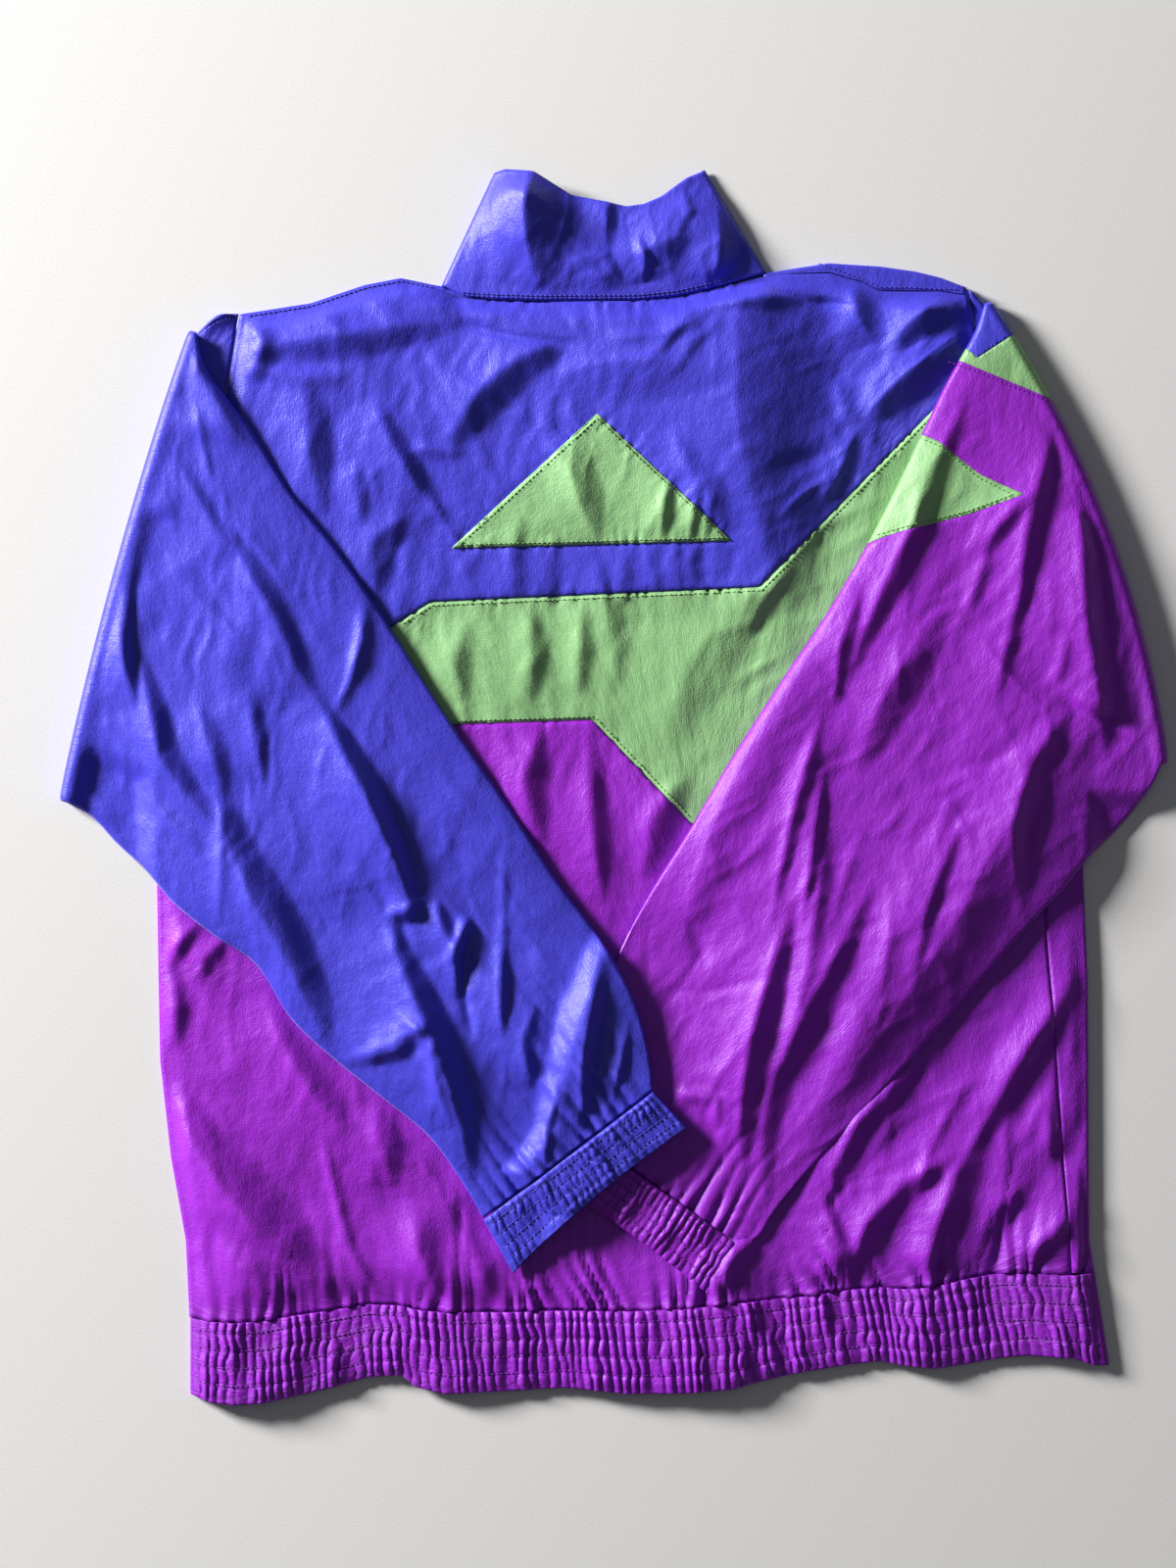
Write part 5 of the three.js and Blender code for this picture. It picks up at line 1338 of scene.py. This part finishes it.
def make_tape(name, node, side, finish):
    """Woven tape with a round cord along the edge that holds the teeth."""
    reach = np.array([0.3, 0.5, 0.8, 1.15, 1.5, 1.7, 1.9, 2.6, 3.4, 4.4]) * side
    cord = np.array([0, 0.22, 0.34, 0.34, 0.22, 0.06, 0, 0, 0, 0])
    y, reach = np.meshgrid(np.arange(ZIP_BOTTOM, ZIP_TOP, TOOTH_PITCH), reach, indexing="ij")
    z = zip_rise(y) + 0.06 * np.cos(y * 2 * math.pi / (2 * TOOTH_PITCH)) * (np.abs(reach) > 1.9)
    if side < 0:
        y, reach, z = y[:, ::-1], reach[:, ::-1], z[:, ::-1]
        cord = cord[::-1]
    piece = cloth(name, stack(zip_x(y) + reach, y, z + cord), thickness=0.4)
    settle(piece, finish, [node])


def make_teeth(name, side, finish):
    """Moulded teeth that reach past the middle, half a pitch apart from the other tape's."""
    start = ZIP_BOTTOM + (1.2 if side > 0 else 1.2 + TOOTH_PITCH / 2)
    piece = block((2.3, 0.95, 1.1), (side * 0.45, start, 0), 0.2)
    piece.name = piece.data.name = name
    row = piece.modifiers.new("row", "ARRAY")
    row.count = int((ZIP_TOP - start) / TOOTH_PITCH)
    row.use_relative_offset = False
    row.use_constant_offset = True
    row.constant_offset_displace = (0, TOOTH_PITCH * MM, 0)
    bpy.ops.object.modifier_apply(modifier=row.name)
    for vertex in piece.data.vertices:
        y = vertex.co.y / MM
        vertex.co.x += zip_x(y) * MM
        vertex.co.z += float(zip_rise(y)) * MM
    settle(piece, finish, [])


def make_slider(finish):
    """Two plates on a wedge, with side lips and a hinge for the pull under the front plate."""
    x, y = zip_x(SLIDER["y"]), SLIDER["y"]
    parts = [
        block((SLIDER["width"], SLIDER["length"], 0.9), (x, y, SLIDER["bottom"] + 0.45), 0.25, 0.78),
        block((SLIDER["width"], SLIDER["length"], 0.9), (x, y, SLIDER["top"] - 0.45), 0.25, 0.78),
        block((2.4, 4.2, 1.6), (x, y + 4.2, 3.2), 0.3, 0.4),
    ]
    for side in (-1, 1):
        for z in (2.75, 3.65):
            parts.append(block((0.8, SLIDER["length"] - 5, 0.5), (x + side * 3, y - 2.2, z), 0.12))
        parts.append(block((0.8, 2.2, 1.6), (x + side * 2.3, PULL_HINGE["y"], 1.05), 0.25))
    parts.append(rod(0.34, 5.2, (x, PULL_HINGE["y"], PULL_HINGE["z"]), (0, math.pi / 2, 0), 16))
    piece = join(parts, "zip_slider_body")
    bpy.ops.object.shade_smooth_by_angle(angle=math.radians(30))
    settle(piece, finish, ["zip_slider"])


def make_pull(finish):
    """A flat tab with a pin eye at its neck and an open grip near its free end."""
    x = zip_x(SLIDER["y"])
    length = PULL_HINGE["y"] - PULL_END
    grip_middle = (x, PULL_END + GRIP_LENGTH / 2, PULL_HINGE["z"])
    grip = block((5.4, GRIP_LENGTH, TAB_THICKNESS), grip_middle, 0.4, 0.86)
    grip = cut_out(grip, block((2.6, 12, 4), (x, PULL_END + 9, PULL_HINGE["z"]), 0.9))
    neck_length = length - (GRIP_LENGTH - 1)
    neck_middle = (x, PULL_HINGE["y"] + 0.5 - neck_length / 2, PULL_HINGE["z"])
    neck = block((3.2, neck_length, TAB_THICKNESS), neck_middle, 0.25)
    neck = cut_out(neck, rod(0.42, 8, (x, PULL_HINGE["y"] - 0.05, PULL_HINGE["z"]), (0, math.pi / 2, 0), 16))
    piece = join([grip, neck], "zip_pull_tab")
    bpy.ops.object.shade_smooth_by_angle(angle=math.radians(30))
    settle(piece, finish, ["zip_pull"], body=PULL)


# Stitches

def shifted(line, distance, closed=False):
    """A line moved to its left by a distance, with its corners kept sharp."""
    count = len(line)
    moved = []
    for k, point in enumerate(line):
        before = line[(k - 1) % count] if closed else line[max(0, k - 1)]
        after = line[(k + 1) % count] if closed else line[min(count - 1, k + 1)]
        ways = [Vector(b) - Vector(a) for a, b in ((before, point), (point, after)) if a != b]
        lefts = [Vector((-w.y, w.x)).normalized() for w in ways]
        middle = sum(lefts, Vector((0, 0))).normalized()
        moved.append(tuple(Vector(point) + middle * distance / max(0.4, middle.dot(lefts[0]))))
    return moved


def surface_of(*pieces):
    """Finds the top of some pieces at a point."""
    trees = []
    for piece in pieces:
        corners = [v.co.copy() for v in piece.data.vertices]
        trees.append(BVHTree.FromPolygons(corners, [tuple(f.vertices) for f in piece.data.polygons]))

    def top(x, y):
        start, down = Vector((x * MM, y * MM, 0.08)), Vector((0, 0, -1))
        hits = [tree.ray_cast(start, down)[0] for tree in trees]
        heights = [hit.z / MM for hit in hits if hit]
        return max(heights) if heights else None

    return top


def thread(line, top):
    """Stitches on a line: a thread that lies on the cloth and dips through it between stitches."""
    ways = [Vector(b) - Vector(a) for a, b in zip(line, line[1:])]
    length = sum(w.length for w in ways)
    stitches = max(2, int(length / STITCH_PITCH))
    at = np.linspace(0, length, stitches * THREAD_POINTS + 1)
    marks = np.cumsum([0] + [w.length for w in ways])
    x = np.interp(at, marks, [a for a, _ in line])
    y = np.interp(at, marks, [b for _, b in line])
    z = np.array([top(a, b) or np.nan for a, b in zip(x, y)])
    if np.isnan(z).all():
        return None
    z = np.interp(at, at[~np.isnan(z)], z[~np.isnan(z)])
    arch = np.array([0.0, 0.3, 0.42, 0.42, 0.3, -0.9])
    z = z + np.resize(arch, len(z))
    heading = np.arctan2(np.gradient(y), np.gradient(x))
    rings = []
    for k in range(5):
        angle = math.pi / 2 * k
        out, up = THREAD_RADIUS * math.cos(angle), THREAD_RADIUS * math.sin(angle)
        rings.append(stack(x - np.sin(heading) * out, y + np.cos(heading) * out, z + up))
    return cloth("stitch_row", np.stack(rings, axis=1), thickness=0)


def sew(name, lines, top, material):
    rows = [row for row in (thread(line, top) for line in lines) if row]
    deselect()
    for row in rows:
        row.select_set(True)
    bpy.context.view_layer.objects.active = rows[0]
    if len(rows) > 1:
        bpy.ops.object.join()
    piece = bpy.context.object
    piece.name = piece.data.name = name
    bpy.ops.object.shade_smooth()
    return settle(piece, material, [])


def waist_rows():
    flat = HALF + TURN_RADIUS
    for k in range(STITCH_ROWS):
        v = FIRST_ROW + k * ROW_SPACING
        t = np.linspace(0.004, 0.996, 120)
        x = mix(mix(*WAIST_RIGHT_END, v) - flat, mix(*WAIST_LEFT_END, v) + flat, t)
        yield list(zip(x, mix(waist_seam_y(x), waist_edge_y(x), v)))


def cuff_rows(ends_table, side):
    for k in range(STITCH_ROWS):
        v = FIRST_ROW + k * ROW_SPACING
        station = {key: mix(value[0], value[1], v) for key, value in ends_table.items()}
        x, y, _, _ = bowed(station, np.linspace(0.03, 0.97, 24), side)
        yield list(zip(x, y))


def make_stitches(pieces, threads):
    back = surface_of(pieces["yoke_cloth"], pieces["band_cloth"], pieces["triangle_cloth"])
    lower = surface_of(pieces["band_cloth"])
    green = [shifted(BAND_TOP_STITCHES, -SEAM_INSET), shifted(BAND_LOW_STITCHES, SEAM_INSET)]
    triangle = shifted([TRIANGLE_LEFT, TRIANGLE_RIGHT, TRIANGLE_APEX], SEAM_INSET, closed=True)
    sew("band_stitches", green, lower, threads["green"])
    sew("triangle_stitches", [triangle + triangle[:1]], back, threads["green"])
    wedge = surface_of(pieces["sleeve_wedge_cloth"])
    sew("wedge_stitches", [WEDGE_STITCHES], wedge, threads["green"])
    sleeve = surface_of(pieces["right_sleeve_cloth"])
    sew("sleeve_seam_stitches", [shifted(SLEEVE_SEAM_STITCHES, -SEAM_INSET)], sleeve,
        threads["magenta"])
    collar = surface_of(pieces["collar_cloth"])
    neck = shifted(NECK_LINE, 1.8), shifted(NECK_LINE, 3.4)
    sew("neck_stitches", neck, collar, threads["purple"])
    shoulders = surface_of(pieces["yoke_cloth"], pieces["right_front_yoke_cloth"])
    left = shifted(line_of(LEFT_SHOULDER, -234, -114), -SEAM_INSET)
    right = shifted(RIGHT_SHOULDER_STITCHES, 1.2)
    sew("shoulder_stitches", [left, right], shoulders, threads["purple"])
    sew("waist_stitches", waist_rows(), surface_of(pieces["waistband_cloth"]), threads["magenta"])
    sew("left_cuff_stitches", cuff_rows(LEFT_CUFF, -1), surface_of(pieces["left_cuff_cloth"]),
        threads["purple"])
    sew("right_cuff_stitches", cuff_rows(RIGHT_CUFF, 1), surface_of(pieces["right_cuff_cloth"]),
        threads["magenta"])


# Stage, camera and light, in metres

CAMERA_HEIGHT = 2.8
VIEW_HEIGHT = 1.008
VIEW_CENTRE = (-0.01575, 0.0006)
FLOOR_SIZE = 6
FLOOR_DROP = 0.0004
WINDOW = {"place": (-3.6, 1.85, 1.45), "size": 1.0, "energy": 440, "colour": (1, 0.98, 0.95)}
OVERHEAD = {"place": (0.2, 0.2, 2.4), "size": 2.0, "energy": 2, "colour": (0.95, 0.97, 1)}
ROOM_COLOUR = (0.9, 0.93, 1, 1)
ROOM_STRENGTH = 0.07


def make_stage():
    deselect()
    bpy.ops.mesh.primitive_plane_add(size=FLOOR_SIZE, location=(0, 0, -FLOOR_DROP))
    floor = bpy.context.object
    floor.name = "floor"
    floor.data.materials.append(plain("pale_floor", (0.95, 0.95, 0.95), 0.85))
    floor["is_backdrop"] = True


def make_camera():
    data = bpy.data.cameras.new("camera")
    camera = bpy.data.objects.new("camera", data)
    bpy.context.collection.objects.link(camera)
    data.sensor_fit = "VERTICAL"
    data.sensor_height = 24
    data.lens = data.sensor_height * CAMERA_HEIGHT / VIEW_HEIGHT
    data.clip_end = 20
    camera.location = (*VIEW_CENTRE, CAMERA_HEIGHT)
    bpy.context.scene.camera = camera


def make_light(name, place, size, energy, colour):
    data = bpy.data.lights.new(name, "AREA")
    data.energy = energy
    data.size = size
    data.color = colour
    light = bpy.data.objects.new(name, data)
    light.location = place
    light.rotation_euler = (-Vector(place)).to_track_quat("-Z", "Y").to_euler()
    bpy.context.collection.objects.link(light)


def make_lights():
    make_light("window", **WINDOW)
    make_light("overhead", **OVERHEAD)
    world = bpy.data.worlds.new("room")
    world.use_nodes = True
    background = world.node_tree.nodes["Background"]
    background.inputs["Color"].default_value = ROOM_COLOUR
    background.inputs["Strength"].default_value = ROOM_STRENGTH
    bpy.context.scene.world = world
    bpy.context.scene.view_settings.view_transform = "Standard"


def write_size(before, after):
    [[round(float(v), 4) for v in corner] for corner in (*before, *after)]


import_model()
cad_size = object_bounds()
make_camera()
make_stage()
make_lights()
weave = weave_group()
purple_nylon = nylon("purple_nylon", weave, **PURPLE)
magenta_nylon = nylon("magenta_nylon", weave, **MAGENTA)
green_nylon = nylon("green_nylon", weave, **GREEN)
tape_weave = plain("zip_tape_weave", (0.03, 0.02, 0.06), 0.7)
tooth_plastic = plain("zip_tooth_plastic", (0.05, 0.035, 0.1), 0.45)
zip_steel = plain("zip_steel", (0.45, 0.46, 0.48), 0.35, 1.0)
make_back(purple_nylon, magenta_nylon, green_nylon)
make_fronts(purple_nylon, magenta_nylon)
make_waistband(magenta_nylon)
make_collar(purple_nylon)
make_right_sleeve(purple_nylon, magenta_nylon, green_nylon)
make_left_sleeve(purple_nylon)
make_cuff("left_cuff_cloth", LEFT_CUFF, -1, rest_left, 6, purple_nylon, "left_cuff", 83)
make_cuff("right_cuff_cloth", RIGHT_CUFF, 1, rest_right, UNDER_LOFT - 0.6, magenta_nylon,
          "right_cuff", 87)
pieces = {piece.name: piece for piece in bpy.context.scene.objects}
make_stitches(pieces, {
    "green": plain("green_thread", (0.26, 0.5, 0.18), 0.6),
    "magenta": plain("magenta_thread", (0.24, 0.012, 0.42), 0.6),
    "purple": plain("purple_thread", (0.05, 0.045, 0.5), 0.6),
})
make_tape("zip_tape_left_weave", "zip_tape_left", -1, tape_weave)
make_tape("zip_tape_right_weave", "zip_tape_right", 1, tape_weave)
make_teeth("zip_teeth_left", -1, tooth_plastic)
make_teeth("zip_teeth_right", 1, tooth_plastic)
make_slider(zip_steel)
make_pull(zip_steel)
write_size(cad_size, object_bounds())
